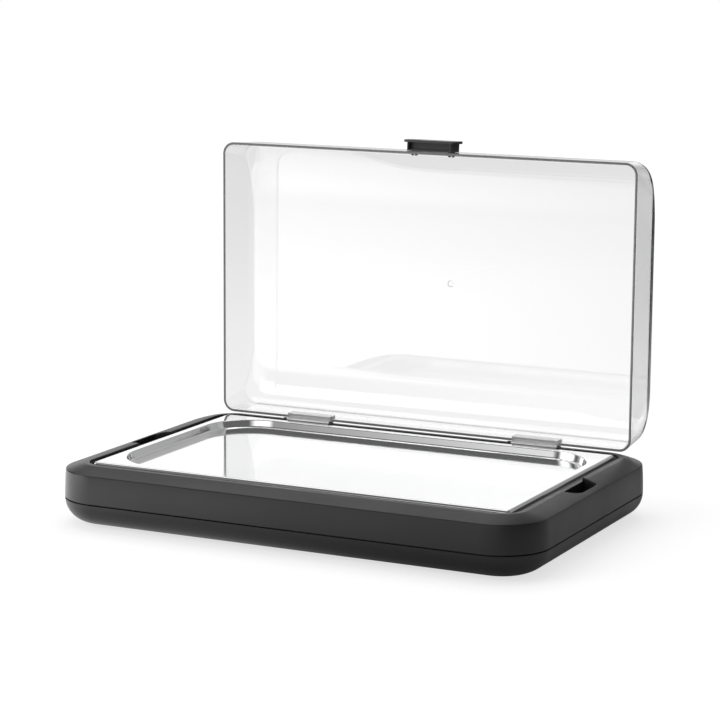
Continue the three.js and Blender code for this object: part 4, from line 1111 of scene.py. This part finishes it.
barrel, bore = circle(KNUCKLE_RADIUS, 48), circle(PIN_RADIUS + PIN_CLEARANCE, 32)
combine(cover, [prism(outline, x - knuckle_half, x + knuckle_half, hung, "pad", MATT_PAD)
                for x in HINGE_MIDDLES for outline in (tongue, barrel, inner_pad)], "UNION")
combine(cover, [prism(bore, x - knuckle_half - 5, x + knuckle_half + 5, hung) for x in HINGE_MIDDLES],
        "DIFFERENCE")
print("with its hinges:", len(cover.data.polygons), "faces")

# %% Cover: slots
HANDLE_MIDDLE, HOOK_SPACING, HOOK_WIDTH, HOOK_THICKNESS = 31.5, 50.0, 8.4, 3.0
HOOK_MIDDLES = (-HOOK_SPACING / 2, HOOK_SPACING / 2)
lean_angle = math.atan(FRONT_DRAFT)
handle_y, handle_z = -HINGE_Y - COVER_Y + FRONT_DRAFT * HANDLE_MIDDLE, HINGE_DROP + HANDLE_MIDDLE


def on_handle(x, up, out):
    """A point on the handle: up the wall from the handle's middle, and out of the cover's wall."""
    y = handle_y - out * math.cos(lean_angle) + up * math.sin(lean_angle)
    z = handle_z + out * math.sin(lean_angle) + up * math.cos(lean_angle)
    return hung(y, z, x)


def rectangle(x0, x1, up0, up1):
    """Corners of a rectangle on the handle's axes."""
    return [(x0, up0), (x1, up0), (x1, up1), (x0, up1)]


slot_x, slot_up = HOOK_WIDTH / 2 + GAP, HOOK_THICKNESS / 2 + GAP
combine(cover, [prism(rectangle(x - slot_x, x + slot_x, -slot_up, slot_up), 2, -COVER_WALL - 2, on_handle)
                for x in HOOK_MIDDLES], "DIFFERENCE")
finished(cover, "cover", ["cover"], 35)

# %% [markdown]
# ## The handle
# A small hollow pull of black plastic. Its box has a shallow pocket on the rim's side and is cored
# from behind, so that its walls stay thin, and a wider plate across its far side gives the fingers
# something to hold. Two split hooks snap through the cover's wall.
# Small bevels on every edge catch the light, as a mould's eased edges do.

# %% Handle
HANDLE_LENGTH, HANDLE_DEPTH, HANDLE_HEIGHT, HANDLE_WALL, HANDLE_POCKET = 59.0, 26.0, 10.4, 1.6, 7.0
GRIP_LENGTH, GRIP_DEPTH, GRIP_THICKNESS, GRIP_BULGE = 72.0, 28.0, 3.0, 5.0
HOOK_SLIT, HOOK_BARB, HOOK_REACH = 2.2, 0.9, 3.6
BEVEL_WIDTH, BEVEL_ANGLE = 0.35, 40
half_length, half_depth = HANDLE_LENGTH / 2, HANDLE_DEPTH / 2
inside_x = half_length - HANDLE_WALL
handle_top = GAP + HANDLE_HEIGHT
web = -half_depth + HANDLE_POCKET
handle = prism(rectangle(-half_length, half_length, -half_depth, half_depth), GAP, handle_top, on_handle,
               "pull_handle", HANDLE_BLACK)
combine(handle, [prism(rectangle(-inside_x, inside_x, up0, up1), GAP + HANDLE_WALL, handle_top + 1, on_handle,
                       "hollow", HANDLE_BLACK)
                 for up0, up1 in ((-half_depth - 1, web), (web + HANDLE_WALL, half_depth + 1))], "DIFFERENCE")

half_grip, grip_up = GRIP_LENGTH / 2, GRIP_DEPTH / 2
grip_half = bend((half_grip - GRIP_BULGE, -grip_up), (half_grip, -grip_up), (half_grip, 0), 8)
grip_half += bend((half_grip, 0), (half_grip, grip_up), (half_grip - GRIP_BULGE, grip_up), 8)
grip_half += [(-half_grip + GRIP_BULGE, grip_up)]
grip_outline = grip_half + [(-x, -up) for x, up in grip_half]
added = [prism(grip_outline, handle_top - 0.01, handle_top + GRIP_THICKNESS, on_handle, "grip", HANDLE_BLACK)]
hook_start, hook_back, hook_tip = GAP + HANDLE_WALL / 2, -COVER_WALL - GAP, -COVER_WALL - HOOK_REACH
for x in HOOK_MIDDLES:
    for prong in (-1, 1):
        near, far, barb = x + prong * HOOK_SLIT / 2, x + prong * HOOK_WIDTH / 2, prong * HOOK_BARB
        hook = [(near, hook_start), (far, hook_start), (far, hook_back), (far + barb, hook_back),
                (far - barb, hook_tip), (near, hook_tip)]
        added.append(prism(hook, -HOOK_THICKNESS / 2, HOOK_THICKNESS / 2,
                           lambda u, out, up: on_handle(u, up, out), "hook", HANDLE_BLACK))
combine(handle, added, "UNION")
eased = handle.modifiers.new("eased", "BEVEL")
eased.width = BEVEL_WIDTH * MM
eased.segments = 2
eased.limit_method = "ANGLE"
eased.angle_limit = math.radians(BEVEL_ANGLE)
applied(handle)
finished(handle, "cover", ["cover_handle"])

# %% [markdown]
# ## Pins, screws and feet
# These are turned parts: an outline of radii and heights, spun about an axis. A tree sets the same
# turned part at every place, so eight screws and four feet cost one drawing each.

# %% A tree that sets a part at its places
SCATTER, entry, exit_ = geometry_tree("set_at_places", [("Part", "Object", None), ("Turn", "Float", 0.0)])
part = add(SCATTER, "GeometryNodeObjectInfo", Object=entry["Part"])
number = add(SCATTER, "GeometryNodeInputIndex").outputs[0]
spin = add(SCATTER, "ShaderNodeCombineXYZ", Z=times(number, entry["Turn"]))
spread_parts = add(SCATTER, "GeometryNodeInstanceOnPoints", Points=entry["Geometry"],
                   Instance=part.outputs["Geometry"], Rotation=spin.outputs[0])
end_tree(SCATTER, spread_parts)
print("tree:", SCATTER.name, "with", len(SCATTER.nodes), "nodes")
SMALL_SHARP = 30         # degrees above which an edge of a turned part stays crisp


def set_out(name, drawn, places, material, nodes, turn=0.0):
    """Sets a turned part at every place, each turned further than the last, and finishes the lot."""
    made = grow(SCATTER, name, places, {}, Part=drawn, Turn=turn, Material=material)
    bpy.data.objects.remove(drawn)
    finished(made, "base", nodes, SMALL_SHARP)


# %% Screws
SCREW_HEAD, THREAD_PITCH, THREAD_DEPTH, CROSS_HALF, CROSS_DEPTH = 2.2, 1.2, 0.35, 0.4, 1
screw_seat = BOSS_BOTTOM - WALL - GAP
screw_tip = LEDGE_Z - WALL - 10
head_low = screw_seat - SCREW_HEAD
core = SCREW_RADIUS - THREAD_DEPTH
screw_outline = [(0, head_low), (1.6, head_low), (2.6, head_low + 0.25), (3.1, head_low + 0.7),
                 (SCREW_HEAD_RADIUS, head_low + 1.2), (SCREW_HEAD_RADIUS, screw_seat),
                 (SCREW_RADIUS, screw_seat)]
for height in np.arange(screw_seat + 2, screw_tip - 3, THREAD_PITCH):
    screw_outline += [(core, height), (SCREW_RADIUS, height + 0.5), (core, height + 1.0)]
screw_outline += [(SCREW_RADIUS - 0.3, screw_tip - 2), (0, screw_tip)]
screw = turned_part("screw", screw_outline, 24)
arm, half = SCREW_HEAD_RADIUS * 0.55, CROSS_HALF
quarter = [(-arm, -half), (-half, -half), (-half, -arm)]
cross = quarter + [(-v, u) for u, v in quarter]
cross += [(-u, -v) for u, v in cross]
combine(screw, [prism(cross, head_low - CROSS_DEPTH, head_low + CROSS_DEPTH, about_z)], "DIFFERENCE")
set_out("case_screws", screw, [at(x, y, 0) for x, y in screw_spots], SCREW_STEEL, SCREWS, 0.7)

# %% Feet
foot_seat = FLOOR_Z + FOOT_RECESS - GAP
stem_top = FLOOR_Z + WALL + GAP
foot_outline = [(0, 0), (7.0, 0.0), (9.4, 0.0), (10.3, 0.25), (10.8, 0.7), (FOOT_RADIUS, 1.3),
                (FOOT_RADIUS, foot_seat), (STEM_RADIUS, foot_seat), (STEM_RADIUS, stem_top),
                (STEM_RADIUS + 1, stem_top), (STEM_RADIUS + 0.8, stem_top + 0.6),
                (STEM_RADIUS - 1, stem_top + 3), (0, stem_top + 3)]
foot = turned_part("foot", foot_outline, 48)
set_out("feet", foot, [at(x, y, 0) for x, y in foot_spots], RUBBER, FEET)

# %% Pins
PIN_EASE = 0.25
pin_half = size_of("hinge_pin_left")[2][0] / 2
pin_end = [(0, pin_half), (PIN_RADIUS - PIN_EASE, pin_half), (PIN_RADIUS, pin_half - PIN_EASE)]
pin = turned_part("pin", [(radius, -along) for radius, along in pin_end] + pin_end[::-1], 32)
pin.data.transform(Matrix.Rotation(math.pi / 2, 4, "Y"))
set_out("hinge_pins", pin, [at(x, HINGE_Y, HINGE_Z) for x in HINGE_MIDDLES], PIN_STEEL,
        ["hinge_pin_left", "hinge_pin_right"])

# %% [markdown]
# ## Cold packs
# The packs lie out of sight under the tray and only show when it is lifted out. Their packed
# solids already have the right shape, so they stay and take their finish.

# %% Cold packs and plugs
for side in ("left", "right"):
    for node, material, slot in ((f"cold_pack_{side}", PACK_BLUE, "pack_plastic"),
                                 (f"cold_pack_plug_{side}", PLUG_WHITE, "plug_plastic")):
        solid = frame["nodes"][node]
        solid.data.materials.clear()
        solid.data.materials.append(material)
        print(node, "takes", material.name)
